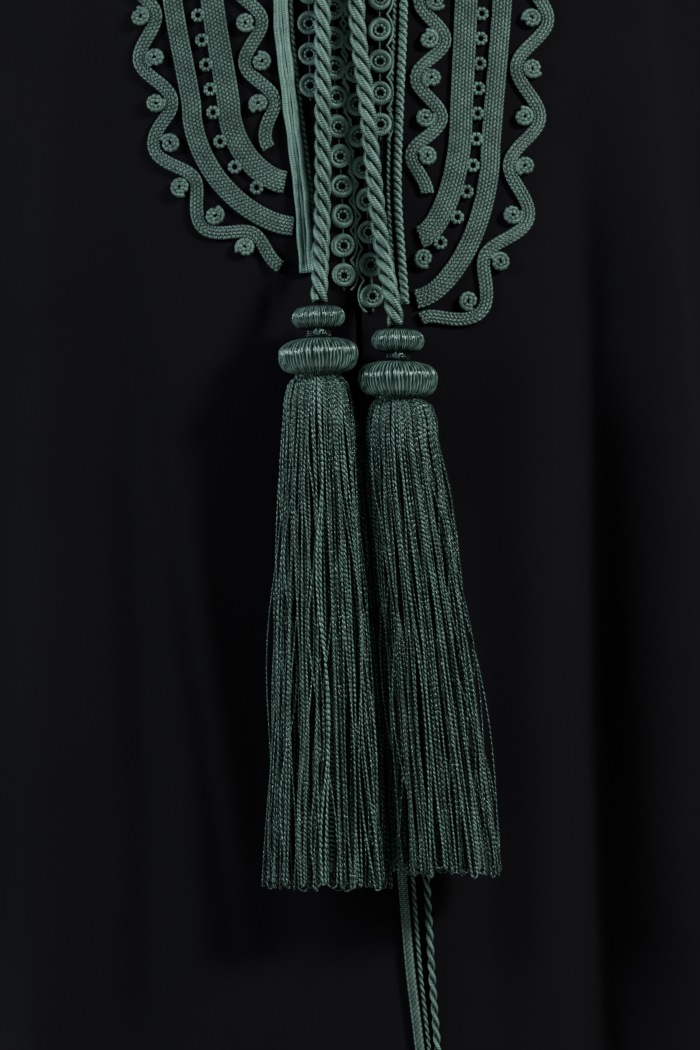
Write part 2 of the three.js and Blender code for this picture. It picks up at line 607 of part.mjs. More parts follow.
const piping = (kind) => ribbon(downLine(kind.line, kind.line[0].z, kind.line.at(-1).z, 22), kind.width, kind.thick, LIFT);

// A row of rosettes as one strip that swells at each of them.
function rosetteRow(row) {
  const count = Math.round((row.to - row.from) / (row.pitch ?? ROW.pitch));
  const wide = (k) => (k % 2 ? ROW.wide : ROW.narrow);
  return ribbon(downLine(row.line, row.from, row.to, 2 * count), wide, ROW.thick, LIFT);
}

// A three-lobed rope, turned about its middle line, that lifts off to its tassel's head at its foot.
function rope(line) {
  const foot = line[0].z;
  const top = line.at(-1).z;
  const spine = downLine(line, foot, top, ROPE.steps).map((p) => {
    const lift = mix(TASSEL.lift, ROPE.rest, smooth((p.z - foot) / ROPE_RISE));
    return onFront(p.x, p.z, lift);
  });
  const rings = spine.map((p, k) => {
    const turn = 2 * Math.PI * (top - p.z) / ROPE.pitch;
    const d = new THREE.Vector3().subVectors(spine[Math.min(k + 1, ROPE.steps)], spine[Math.max(k - 1, 0)]).normalize();
    const across = new THREE.Vector3(0, 1, 0).cross(d).normalize();
    const out = new THREE.Vector3().crossVectors(d, across);
    return Array.from({ length: ROPE.sides }, (_, j) => {
      const a = 2 * Math.PI * j / ROPE.sides;
      const r = ROPE.radius - ROPE.lobe * (1 - Math.cos(3 * a)) / 2;
      return p.clone().addScaledVector(across, r * Math.cos(a + turn)).addScaledVector(out, r * Math.sin(a + turn));
    });
  });
  return loft(rings);
}

// ---------------------------------------------------------------- tassels

// A solid turned about an upright line.
function turned(profile, sides) {
  const geometry = new THREE.LatheGeometry(profile.map((p) => new THREE.Vector2(p.r, p.h)), sides);
  geometry.deleteAttribute('normal');
  geometry.deleteAttribute('uv');
  geometry.rotateX(Math.PI / 2);
  return mergeVertices(geometry, 1e-4);
}

// A head turned in one piece, and three rings of strands whose roots are fused into its foot.
function tassel(kind) {
  const axisDepth = frontDepth(kind.x, kind.topZ) + TASSEL.lift;
  const solids = [turned(HEAD, HEAD_SIDES).translate(kind.x, -axisDepth, kind.topZ)];
  const rootZ = kind.topZ + HEAD[0].h + 2;
  TASSEL.rings.forEach(([share, count], ringNumber) => {
    for (let k = 0; k < count; k += 1) {
      const turn = 2 * Math.PI * (k + 0.5 * (ringNumber % 2)) / count;
      const spine = STRAND.stations.map((t) => {
        const z = mix(rootZ, kind.footZ, t) + (t === 1 ? 3 * Math.sin(5 * turn + ringNumber) + 3 : 0);
        const from = along(kind.edges, 'z', 'from', z) + STRAND.foot;
        const to = along(kind.edges, 'z', 'to', z) - STRAND.foot;
        const open = Math.sin(Math.PI / 2 * Math.min(t / SKIRT_OPEN.share, 1)) ** SKIRT_OPEN.power;
        const halfX = mix(TASSEL.rootRadius, (to - from) / 2, open);
        const halfY = mix(TASSEL.rootRadius, mix(TASSEL.depthTop, TASSEL.depthFoot, t), open);
        const x = mix(kind.x, (from + to) / 2, open) + share * halfX * Math.cos(turn);
        const middle = Math.max(axisDepth, frontDepth(kind.x, z) + TASSEL.lift);
        return new THREE.Vector3(x, -middle - share * halfY * Math.sin(turn), z);
      });
      solids.push(loft(spine.map((p, j) => {
        const r = mix(STRAND.root, STRAND.foot, smooth(STRAND.stations[j] * 2));
        return [0, 1, 2].map((m) => {
          const a = turn + 2 * Math.PI * m / 3;
          return new THREE.Vector3(p.x + r * Math.cos(a), p.y - r * Math.sin(a), p.z);
        });
      })));
    }
  });
  return fused(solids);
}

// ---------------------------------------------------------------- tie cords

// A tie cord is an oval or round section drawn along its route.
function tie(kind) {
  const points = kind.route.map(([x, z]) => onFront(x, z, TIE_LIFT + kind.thick / 2));
  const section = new THREE.Shape();
  for (let k = 0; k < TIE_SIDES; k += 1) {
    const a = 2 * Math.PI * (k + 0.5) / TIE_SIDES;
    const corner = [kind.thick / 2 * Math.cos(a), kind.width / 2 * Math.sin(a)];
    if (k === 0) section.moveTo(...corner);
    else section.lineTo(...corner);
  }
  section.closePath();
  const path = new THREE.CatmullRomCurve3(points);
  return new THREE.ExtrudeGeometry(section, { steps: TIE_STEPS, bevelEnabled: false, extrudePath: path });
}

function tieKnot() {
  const halfDepth = KNOT.flat * Math.max(...KNOT.profile.map((p) => p.r));
  const knot = turned(KNOT.profile, KNOT.sides).scale(1, KNOT.flat, 1);
  return knot.translate(KNOT.x, -frontDepth(KNOT.x, KNOT.topZ) - TIE_LIFT - halfDepth, KNOT.topZ);
}

// ---------------------------------------------------------------- the garment

const garment = new THREE.Group();
function add(name, geometry, look) {
  geometry.deleteAttribute('normal');
  geometry.deleteAttribute('uv');
  const merged = mergeVertices(geometry, 1e-4);
  merged.computeVertexNormals();
  const mesh = new THREE.Mesh(merged, new THREE.MeshStandardMaterial(look));
  mesh.name = name;
  garment.add(mesh);
}

add('front', front.geometry, BLACK);
add('back', back.geometry, BLACK);
add('sleeve_left', sleeve(-1), BLACK);
add('sleeve_right', sleeve(1), BLACK);
for (const side of ['left', 'right']) {
  const { outer, inner } = LOBES[side];
  add(`braid_outer_${side}`, braid(outer, OUTER_BRAID), GREEN);
  add(`braid_inner_${side}`, braid(inner, INNER_BRAID), GREEN);
  add(`wave_outer_${side}`, waveBraid(outer, WAVES[side].outer), GREEN);
  add(`wave_inner_${side}`, waveBraid(inner, WAVES[side].inner), GREEN);
  add(`piping_${side}`, piping(PIPING[side]), GREEN);
  add(`rosettes_inner_${side}`, rosetteRow(ROSETTE_ROWS[side].inner), GREEN);
  add(`rosettes_edge_${side}`, rosetteRow(ROSETTE_ROWS[side].edge), GREEN);
  add(`rope_${side}`, rope(ROPES[side].line), GREEN);
  add(`tassel_${side}`, tassel(TASSELS[side]), GREEN);
}
for (const [name, kind] of Object.entries(TIES)) add(name, tie(kind), GREEN);
add('tie_knot', tieKnot(), GREEN);

export default garment;
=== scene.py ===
"""A black abaya in its worn shape: thin shell cloth, with couched braids, ropes and tassels on its front.

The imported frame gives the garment's one body. Every piece here is a surface worked out in millimetres
from the same tables as the frame's solids, then put into a mesh in metres.
"""

import bpy
import numpy as np
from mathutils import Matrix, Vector


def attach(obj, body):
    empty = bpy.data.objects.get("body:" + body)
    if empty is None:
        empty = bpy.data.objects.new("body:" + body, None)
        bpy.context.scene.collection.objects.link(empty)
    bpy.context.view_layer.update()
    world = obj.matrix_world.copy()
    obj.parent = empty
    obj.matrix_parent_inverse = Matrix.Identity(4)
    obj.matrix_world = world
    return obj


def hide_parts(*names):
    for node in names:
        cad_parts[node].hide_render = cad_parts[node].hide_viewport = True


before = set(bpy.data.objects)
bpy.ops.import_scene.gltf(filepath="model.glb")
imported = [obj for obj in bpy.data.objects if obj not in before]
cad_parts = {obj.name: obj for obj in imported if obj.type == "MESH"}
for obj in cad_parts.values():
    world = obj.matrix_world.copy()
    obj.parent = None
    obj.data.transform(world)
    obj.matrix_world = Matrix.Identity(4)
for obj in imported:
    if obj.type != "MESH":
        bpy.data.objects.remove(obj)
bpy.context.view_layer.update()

bl_info = {
    "name": "Abaya with braid work and tassels",
    "version": (1, 0, 0),
    "blender": (4, 5, 0),
    "location": "3D View > Sidebar > Abaya",
    "description": "Builds the cloth, braids, ropes, tassels and tie cords of an abaya",
    "category": "Add Mesh",
}

MM = 0.001

# ---------------------------------------------------------------- the garment's sizes, in millimetres

# The gap between the front and the back at a seam, then the heights of the garment's levels.
SEAM = 0.3
HEM_Z = -1420.0
KNEE_Z = -730.0
YOKE_Z = -400.0
SLIT_FOOT_Z = -436.0
ARMPIT_Z = -287.0
CHEST_Z = -190.0
# The neck's half width, the height of its points at the shoulder seams, and its depth on each panel.
NECK_HALF = 85.0
NECK_POINT_Z = 8.0
NECK_DROP = {"front": 78.0, "back": 26.0}
# The fall of the shoulder, the powers that round a level section and the bend over the shoulder, and how
# fast a section widens above the armpit.
SHOULDER_SLOPE = 0.436
CHEST_POWER = 2.4
SHOULDER_POWER = 1.6
REACH_SLOPE = 0.17
# The shares of a half panel at which its neckline and its shoulder seam end.
NECK_END = 0.34
SHOULDER_END = 0.66

# Height, half width, depth in front and depth behind of level sections, from the hem up.
SECTIONS = np.array([
    [-1420, 368, 218, 222],
    [-1150, 332, 186, 190],
    [-850, 290, 154, 156],
    [-600, 260, 138, 126],
    [-400, 244, 134, 112],
    [-287, 242, 130, 114],
    [-190, 242, 122, 114],
    [8, 242, 116, 106],
], dtype=float)

# Folds in front: places in degrees round the body at the yoke, knee and hem, spread, then rises there.
FRONT_FOLDS = [
    (-44, -42, -43, 4.5, -4, -8, -15),
    (-34, -30, -32, 4.5, 5, 9, 17),
    (-28, -21, -22, 4.0, -5, -9, -15),
    (-19, -14, -12, 4.0, 1, 6, 14),
    (-7, -5, -3, 4.5, 0, -3, -13),
    (5, 5, 7, 4.5, 0, 2, 13),
    (13, 13, 15, 4.0, 0, -3, -10),
    (20, 19, 21, 3.5, 4, 6, 13),
    (27, 25.3, 28, 3.2, -7, -13, -16),
    (36, 36, 37, 4.0, 7, 10, 16),
    (46, 47, 47, 4.5, -4, -9, -15),
]
# Folds at the sides and behind: degrees to the first and from one to the next, how many there are on a
# side, their spread, and their mean rise at the yoke, knee and hem.
SIDE_FOLDS = {
    "first": 57, "step": 11.2, "per_side": 11, "spread": 4.6,
    "yoke": 2.5, "knee": 8, "hem": 15.5,
}

# Soft creases laid over the folds: height and place at their top, middle and foot, then how wide they
# are to the left and to the right, and how far they rise.
FRONT_CREASES = [
    (-150, 124, -346, 140, -560, 160, 17, 4.5, 5.5),
    (-270, 106, -430, 111, -900, 118, 8, 6, -5.5),
    (-280, 86, -520, 90, -1000, 96, 16, 14, -4.2),
    (-290, 128, -520, 134, -1000, 140, 12, 14, 3.0),
    (-392, -101, -499, -81, -720, -48, 3.2, 4.2, -2.6),
    (-392, -92, -499, -72, -720, -40, 4.5, 6, 1.4),
    (-366, -43, -388, -38, -412, -33, 2.4, 3.2, -1.5),
    (-372, -36, -392, -31, -416, -27, 2.2, 3.4, 0.9),
    (-250, -131, -480, -136, -900, -140, 8, 11, 3.4),
    (-200, -118, -430, -108, -800, -88, 9, 7, -4.2),
    (-470, 58, -640, 66, -900, 71, 7, 12, -2.4),
    (-520, -8, -760, -14, -1100, -12, 13, 9, 2.6),
    (-80, 120, -150, 152, -240, 186, 9, 12, 3.2),
    (-85, -118, -165, -150, -255, -182, 11, 9, 3.6),
    (-120, 158, -175, 178, -235, 196, 7, 8, -2.6),
    (-118, -152, -180, -176, -240, -194, 8, 7, -2.8),
    (-640, -176, -900, -206, -1300, -236, 10, 14, 4.5),
    (-620, 192, -900, 214, -1300, 244, 13, 9, 4.2),
]
BACK_CREASES = [
    (-60, 92, -160, 130, -270, 176, 12, 9, 3.4),
    (-62, -96, -170, -134, -280, -178, 9, 12, 3.8),
    (-110, 40, -330, 52, -620, 60, 13, 9, 3.2),
    (-130, -34, -350, -46, -640, -58, 10, 14, 3.6),
    (-260, 8, -480, 4, -800, 10, 11, 11, -3.2),
    (-300, 112, -500, 120, -820, 136, 8, 12, -3.6),
    (-280, -118, -520, -128, -840, -140, 12, 8, -3.8),
    (-420, 168, -700, 186, -1100, 214, 12, 8, 4.0),
    (-440, -160, -720, -182, -1120, -210, 8, 12, 4.4),
]
# Creases of a sleeve: place along it, turn round it in degrees, half length, half width, slant in
# degrees of turn for its whole length, and rise.
SLEEVE_CREASES = [
    (0.10, 120, 0.10, 15, 60, -4.0),
    (0.20, 150, 0.14, 17, 70, 4.2),
    (0.34, 95, 0.12, 14, -50, -3.0),
    (0.46, 150, 0.07, 18, -80, -5.0),
    (0.52, 190, 0.07, 20, 90, -5.2),
    (0.58, 140, 0.09, 16, 60, 3.6),
    (0.64, 215, 0.12, 18, -70, 3.8),
    (0.78, 80, 0.20, 13, 30, -3.6),
    (0.80, 170, 0.20, 15, -30, 4.0),
    (0.84, 260, 0.18, 14, 30, -3.8),
    (0.30, 250, 0.16, 16, 50, 3.4),
    (0.16, 300, 0.14, 15, -50, -3.0),
    (0.70, 330, 0.22, 14, 20, 2.8),
]

# The sleeve: share of its length, outer line, inner line, middle depth and half depth.
SLEEVE = np.array([
    [0.00, 202, -43, 242, -287, 0, 67],
    [0.14, 244, -66, 254, -306, -1, 80],
    [0.30, 288, -118, 263, -343, -3, 84],
    [0.48, 322, -215, 271, -400, -8, 82],
    [0.72, 350, -360, 281, -500, -20, 79],
    [1.00, 392, -590, 300, -640, -40, 84],
], dtype=float)
# How far the slow folds round a sleeve rise.
SLEEVE_FOLD = 3.5
# The armhole's oval: its middle, how far it leans, half its height, and how far it bulges outwards.
ARMHOLE = {"x": 222.0, "z": -165.0, "lean": 20.0, "half_height": 122.0, "bulge": 8.0}

# The slit: height, place of its middle line, half its width.
SLIT = np.array([[-436, 4, 1.2], [-391, 2.7, 1.5], [-256, -5.6, 3.4], [-70, -3.5, 6]], dtype=float)

# A panel's grid. Its columns stand at shares of a half panel, from 0 at the middle to 1 at the side:
# first and last share, and how many. Its rows lie at levels, from -1 at the hem through 0 at the yoke to
# 1 at the top edge: first and last level, how many, and the power that packs them towards the first.
FIRST_COLUMN = 0.055
SLIT_FOOT_LEVEL = (SLIT_FOOT_Z - YOKE_Z) / (YOKE_Z - HEM_Z)
COLUMNS = {
    "front": [(0.0, FIRST_COLUMN, 5), (FIRST_COLUMN, 0.45, 44), (0.45, 1.0, 27)],
    "back": [(0.0, 1.0, 52)],
}
LEVELS = {
    "front": [(SLIT_FOOT_LEVEL, -1.0, 68, 1.35), (SLIT_FOOT_LEVEL, 0.0, 7, 1.0), (0.0, 1.0, 56, 1.0)],
    "back": [(0.0, -1.0, 68, 1.0), (0.0, 1.0, 40, 1.0)],
}
SLEEVE_GRID = {"around": 64, "rows": 66}

# The lobes of braid: side, place at the top, at the bend, height of the bend, place and height of the foot.
LEAN_TOP_Z = -250.0
LOBES = {
    ("left", "outer"): (-1, 82, 73, -300, 26.5, -357),
    ("left", "inner"): (-1, 64, 56, -300, 30.2, -337),
    ("right", "outer"): (1, 68.5, 63, -318, 29, -390),
    ("right", "inner"): (1, 52, 49.5, -306, 30.5, -362),
}
# The powers of the oval that a lobe bends along.
LOBE_POWER = {"cosine": 1.25, "sine": 1.0}
FLAT_BRAIDS = {
    "outer": {"width": 9.0, "thick": 1.9, "top_z": -32.0, "ribs": 6},
    "inner": {"width": 10.5, "thick": 1.9, "top_z": -58.0, "ribs": 7},
}
# The waves: distance of each one's middle line from its lobe, swing about it, length of a full swing,
# height of the top, how far through a swing it starts, and how much of the foot is left out.
WAVES = {
    ("left", "outer"): {
        "off": 14.1, "swing": 5.5, "length": 40.0, "top_z": -34.0, "phase": 0.08, "stop": 2.0},
    ("left", "inner"): {
        "off": -15.6, "swing": 5.4, "length": 38.0, "top_z": -64.0, "phase": 0.49, "stop": 8.0},
    ("right", "outer"): {
        "off": 15.0, "swing": 6.2, "length": 45.0, "top_z": -34.0, "phase": 0.18, "stop": 0.0},
    ("right", "inner"): {
        "off": -15.1, "swing": 6.1, "length": 35.5, "top_z": -64.0, "phase": 0.39, "stop": 12.0},
}
WAVE_BRAID = {"width": 6.2, "thick": 1.9, "ribs": 4}
# The radius that a bend's rosette takes up, and how far it laps the braid.
BEND_ROSETTE = 4.9
BEND_OVERLAP = 0.7
# How far the trim stands off the cloth.
LIFT = 0.5
# The plaits: length of a stitch, how far the stitches rise, and the step between rows of points.
STITCH = 1.9
STITCH_RISE = 0.95
RIBBON_STEP = 0.5
# Small loops along the outer edge of an inner braid, and the coils in the bends of the waves.
EDGE_LOOP = {"radius": 2.2, "cord": 1.12, "lift": LIFT + 0.95, "stitches": 8}
EDGE_LOOPS = {"off": 2.0, "first": 8.0, "pitch": 11.4, "short": 1.5}
BEND_COIL = {"radius": 4.0, "cord": 1.12, "windings": 2.1, "lift": LIFT + 1.3}
# One more coil below the foot of the right inner wave, in the corner between the two flat braids.
FOOT_COILS = {("right", "inner"): np.array([[32.4, -371.4]])}

# Lines beside the slit, each a table of height and place.
PIPING = {
    "left": np.array([[-378, -20.5], [-342, -23], [-302, -28], [-256, -32.5], [-66, -33]], dtype=float),
    "right": np.array([[-392, 24], [-342, 20.6], [-302, 21.6], [-256, 23.4], [-66, 24]], dtype=float),
}
# The step between points of a piping, its height off the cloth, and how bright its threads are. The left
# piping's rolls: place across and radius. The right piping's cord, and the chain beside both.
PIPING_KINDS = {
    "left": {"step": 1.6, "lift": LIFT + 1.5, "bright": 1.3},
    "right": {"step": 0.8, "lift": LIFT + 1.6, "bright": 1.35},
}
PIPING_ROLLS = ((-2.05, 1.5), (0.1, 0.95), (1.95, 1.4))
PIPING_TWIST = {"strands": 2, "helix": 0.95, "cord": 1.2, "lay": 6.8, "sides": 9, "flat": 0.6}
CHAIN = {"width": 2.3, "thick": 1.3, "ribs": 1, "pitch": 2.8, "per_rib": 8}
CHAIN_OFF = {"left": 4.7, "right": -4.1}
# The rosettes: a ring of gimp, a beaded ring inside it, a cord behind the row with painted shade, and
# scallops beside it.
GIMP_RING = {"radius": 4.15, "cord": 1.55, "lift": LIFT + 1.45}
BEADED_RING = {"radius": 2.2, "cord": 0.85, "lift": LIFT + 1.75, "stitches": 8}
BEADED_SHIFT = np.array([0.1, -0.2])
HOLDING_CORD = {"radius": 0.6, "lift": LIFT + 0.55, "painted_light": 0.3}
SCALLOP = {"off": 3.0, "swing": 3.1, "radius": 0.6, "lift": LIFT + 0.9}
# The step between points of those two cords, the pitch of the rosettes, and each row's heights and places.
ROW_STEP = 0.8
ROSETTE_PITCH = {
    ("left", "inner"): 14.4,
    ("left", "edge"): 13.4,
    ("right", "inner"): 14.4,
    ("right", "edge"): 14.4,
}
ROSETTE_ROWS = {
    ("left", "inner"): np.array([[-300, -18.6], [-256, -19.4], [-74, -20]], dtype=float),
    ("left", "edge"): np.array([
        [-386, -3.4], [-340, -4.8], [-290, -7.7], [-256, -8.8], [-76, -9.4]], dtype=float),
    ("right", "inner"): np.array([[-318, 12.7], [-256, 12.4], [-74, 14.5]], dtype=float),
    ("right", "edge"): np.array([
        [-396, 9.6], [-340, 6.4], [-314, 3.1], [-256, 1], [-76, 2.6]], dtype=float),
}
ROPES = {
    "left": np.array([[-392.2, -14.8], [-340, -13.2], [-256, -13.4], [-74, -14.2]], dtype=float),
    "right": np.array([[-402.6, 19.8], [-360, 12.6], [-302, 6.6], [-256, 2], [-74, 6]], dtype=float),
}
# A rope's twist, the step between its points, and how much of a turn in radians the second one starts on.
# Its middle line's height off the cloth is the rest, and grows to the tassel's within the rise.
ROPE_TWIST = {"strands": 3, "helix": 2.1, "cord": 1.85, "lay": 23.5, "sides": 14}
ROPE_STEP = 1.25
ROPE_START = 0.7
ROPE_RISE = 40.0
ROPE_REST = 7.0

# A tassel's head: radius and height below its top, from the foot up.
HEAD = np.array([
    [9.6, -35.0], [10.2, -33.0], [10.4, -30.8], [13.4, -30.0], [16.2, -28.0], [17.5, -24.9], [17.8, -22.0],
    [17.0, -19.2], [14.2, -16.7], [9.4, -15.2], [5.8, -14.6], [5.2, -13.4], [5.2, -12.0], [6.4, -10.9],
    [9.4, -9.8], [11.2, -7.8], [11.7, -5.6], [10.8, -2.9], [8.2, -1.0], [4.0, -0.2],
])
# Points round the head, threads round it, how far they rise, and how far the head hangs below its top.
HEAD_SIDES = 300
HEAD_THREADS = 84
HEAD_THREAD_RISE = 0.5
HEAD_DROP = 0.6
# Turns of thread on a head: their radius, the thread's radius, and their heights below the top. Then the
# two loops of the small knot in front of the neck: how far each is turned, and its size.
HEAD_BANDS = ((9.9, 0.62, (-31.4, -32.5, -33.6, -34.7)), (5.2, 0.5, (-11.6, -12.5, -13.4)))
NECK_LOOPS = ((0.5, 1.5), (2.2, 1.35))
NECK_KNOT = {"x": 0.4, "forwards": 6.0, "drop": 12.4, "cord": 0.75}
# How far a tassel's middle line lies off the cloth.
TASSEL_LIFT = 21.0
# The ring that the threads hang from: its height below the tassel's top, and its radius.
ROOT_DROP = 31.0
ROOT_RADIUS = 8.6
# The skirt: half its depth at the top and at the foot, and how soon it opens. Its layers of loops: share
# of the loops, and the least and greatest share of the oval.
SKIRT_DEPTH = (13.6, 15.0)
SKIRT_OPEN = {"share": 0.065, "power": 0.5}
SKIRT_LAYERS = ((0.56, 0.93, 1.0), (0.30, 0.74, 0.86), (0.14, 0.5, 0.66))
# The threads keep inside the skirt's edges by the margin.
SKIRT_MARGIN = 0.6
# The core inside the threads, painted dark as shade: its grid, its share of the oval, its ridges, and how
# short it stops.
CORE = {"sides": 72, "rows": 30, "size": 0.62, "ridge": 0.03, "short": 5.0}
# The tassels: place and height of the top, height of the foot, tilt of the head in degrees, and a table of
# height, left edge and right edge of the skirt.
TASSELS = {
    "left": {"x": -15.0, "top_z": -393.0, "foot_z": -654.0, "tilt": 2.2, "edges": np.array([
        [-654, -37.6, 17.6], [-548, -34.6, 10.8], [-443, -31, 1.6]], dtype=float)},
    "right": {"x": 20.4, "top_z": -403.4, "foot_z": -648.0, "tilt": -1.0, "edges": np.array([
        [-648, 20.4, 66.4], [-548, 13.8, 53], [-452, 5.4, 39]], dtype=float)},
}

# The tie cords: the heights and the places that each one passes, from the foot of the slit down, and its
# width, thickness and twist. The flat one is plaited. All lie off the cloth by the lift.
TIE_Z = [-444, -460, -480, -504, -528, -552, -576, -600, -624, -648, -670, -692, -712, -732, -752, -772]
TIE_LIFT = 0.9
TIES = {
    "tie_braid": {"width": 4.8, "thick": 2.8, "x": [
        4.0, 5.2, 7.0, 9.4, 11.8, 14.2, 16.4, 18.6, 20.6, 22.4, 24.2, 26.2, 28.6, 31.0, 33.0, 34.6]},
    "tie_strand": {"width": 2.2, "thick": 2.2, "twist": {
        "strands": 2, "helix": 0.5, "cord": 0.6, "lay": 7.0, "sides": 8}, "x": [
        9.2, 10.2, 11.8, 14.0, 16.4, 18.8, 21.2, 23.4, 25.4, 27.2, 28.8, 30.6, 32.8, 35.0, 37.0, 38.6]},
    "tie_twist": {"width": 3.4, "thick": 3.4, "twist": {
        "strands": 2, "helix": 0.8, "cord": 0.92, "lay": 13.0, "sides": 10}, "x": [
        14.0, 15.2, 17.0, 19.6, 22.4, 25.2, 27.8, 30.2, 32.0, 33.4, 34.6, 35.8, 37.2, 38.8, 40.4, 42.0]},
}
TIE_PLAIT = {"ribs": 4, "pitch": 2.4}
# The ties' knot, the windings and the radius of its cord, and the places of its tails.
KNOT = {"x": 38.5, "top_z": -772.6, "flat": 0.72, "radius": 8.6, "height": 17.0}
KNOT_WINDINGS = 3.3
KNOT_CORD = 2.0
KNOT_TAILS = (-3.0, 0.4, 3.2)

# The stage, in metres: the camera's place and lens, what the lamps point at, and the floor.
CAMERA_PLACE = (-0.0009, -1.94, -0.492)
CAMERA_LENS = 137.0
LAMP_AIM = (0.0, 0.0, -0.5)
FLOOR_HALF = 6.0
FLOOR_GAP = 0.06

# ---------------------------------------------------------------- number tools

# The direction away from the cloth in front, and the upright one.
AWAY = np.array([0.0, -1.0, 0.0])
UPRIGHT = np.array([0.0, 0.0, 1.0])


def smooth(t):
    """0 below 0, 1 above 1, and three squares less two cubes between."""
    c = np.clip(t, 0.0, 1.0)
    return c * c * (3 - 2 * c)


def mix(a, b, t):
    """The value a share t of the way from a to b."""
    return a + (b - a) * t


def unit(vectors):
    """Vectors scaled to length one."""
    return vectors / np.maximum(np.linalg.norm(vectors, axis=-1, keepdims=True), 1e-9)


def along(table, column, at):
    """A table's column at places between its rows: a cubic through each pair of rows, whose slope at a
    row is the difference of its neighbours over their distance. Beyond the ends it stays level."""
    keys = table[:, 0]
    values = table[:, column]
    last = len(keys) - 1
    before = np.maximum(np.arange(last + 1) - 1, 0)
    after = np.minimum(np.arange(last + 1) + 1, last)
    slopes = (values[after] - values[before]) / (keys[after] - keys[before])
    place = np.clip(np.asarray(at, dtype=float), keys[0], keys[-1])
    i = np.clip(np.searchsorted(keys, place, side="left") - 1, 0, last - 1)
    span = keys[i + 1] - keys[i]
    t = (place - keys[i]) / span
    s = t * t
    c = s * t
    start = (2 * c - 3 * s + 1) * values[i] + (c - 2 * s + t) * span * slopes[i]
    return start + (3 * s - 2 * c) * values[i + 1] + (c - s) * span * slopes[i + 1]


def circle(count):
    """Angles that share out a full turn evenly, from 0 on."""
    return 2 * np.pi * np.arange(count) / count


def run(points):
    """How far along a line of points each one is: the sum of the chords before it."""
    return np.r_[0, np.cumsum(np.linalg.norm(np.diff(points, axis=0), axis=1))]


def picked(spots, at, line):
    """Places at distances along a line, straight between its points, which lie at other distances."""
    return np.column_stack([np.interp(spots, at, column) for column in line.T])


def resample(points, step):
    """Points a step apart along a smooth line through a few, with how far along each one is. Each
    coordinate runs as a cubic over the length of the chords, and the steps are equal along the line."""
    table = np.column_stack([run(points), points])
    dense_at = np.linspace(0, table[-1, 0], 6000)
    dense = np.column_stack([along(table, k + 1, dense_at) for k in range(points.shape[1])])
    length = run(dense)
    at = np.linspace(0, length[-1], max(3, int(round(length[-1] / step)) + 1))
    return at, picked(at, length, dense)


# ---------------------------------------------------------------- the cloth's form


def shoulder_line(x):
    """Height of the shoulder seam: it falls evenly from the neck point."""
    return NECK_POINT_Z - SHOULDER_SLOPE * (np.abs(x) - NECK_HALF)


def reach_at(z):
    """Half the width of the level section, which runs on past the armhole above the armpit."""
    return along(SECTIONS, 1, z) + REACH_SLOPE * np.maximum(0, z - ARMPIT_Z)


def panel_depth(x, z, column):
    """Distance from the plane of the side seams: the section's depth times a rounded rectangle across,
    times a rounded bend over the shoulder."""
    across = np.clip(np.abs(x) / reach_at(z), 0, 1)
    rise = np.clip((z - CHEST_Z) / (shoulder_line(x) - CHEST_Z), 0, 1)
    level = (1 - across ** CHEST_POWER) ** (1 / CHEST_POWER)
    over = (1 - rise ** SHOULDER_POWER) ** (1 / SHOULDER_POWER)
    return along(SECTIONS, column, z) * level * over


def all_folds():
    """The folds in front, then those of the sides and the back, a step apart and of uneven size."""
    rows = list(FRONT_FOLDS)
    for side in (-1, 1):
        for k in range(SIDE_FOLDS["per_side"]):
            at = side * (SIDE_FOLDS["first"] + k * SIDE_FOLDS["step"] + 1.5 * np.sin(2.3 * k + side))
            size = (-1 if k % 2 else 1) * (1 + 0.15 * np.sin(1.7 * k + 2 * side))
            rises = [size * SIDE_FOLDS[name] for name in ("yoke", "knee", "hem")]
            rows.append((at, at, at, SIDE_FOLDS["spread"], *rises))
    return rows


FOLDS = all_folds()


def fold_rise(angle, z):
    """Rise of the cloth at an angle round the body: each fold is a bell across, and its place and height
    pass smoothly from the hem to the knee and the yoke. Above the yoke the folds die away."""
    rise = np.zeros(np.broadcast(angle, z).shape)
    for yoke_at, knee_at, hem_at, spread, yoke, knee, hem in FOLDS:
        rows = [[HEM_Z, hem_at, hem], [KNEE_Z, knee_at, knee], [YOKE_Z, yoke_at, yoke]]
        table = np.array(rows, dtype=float)
        away = (angle - along(table, 1, z) + 540) % 360 - 180
        rise += along(table, 2, z) * np.exp(-0.5 * (away / spread) ** 2)
    return rise * (1 - smooth((z - YOKE_Z) / (ARMPIT_Z - YOKE_Z)))


def crease_rise(x, z, creases):
    """Sum of soft creases: each is a bell across its line, narrower on one side, and swells and dies
    away along it as half a wave."""
    rise = np.zeros(np.broadcast(x, z).shape)
    for top_z, top_x, mid_z, mid_x, low_z, low_x, left, right, height in creases:
        line = along(np.array([[low_z, low_x], [mid_z, mid_x], [top_z, top_x]], dtype=float), 1, z)
        away = x - line
        width = np.where(away < 0, left, right)
        share = np.clip((z - low_z) / (top_z - low_z), 0, 1)
        rise += height * np.sin(np.pi * share) ** 0.8 * np.exp(-0.5 * (away / width) ** 2)
    return rise


def body_turn(x, z):
    """Degrees round the body from the middle: the angle whose sine is the share of the section's half."""
    return np.degrees(np.arcsin(np.clip(x / along(SECTIONS, 1, z), -1, 1)))


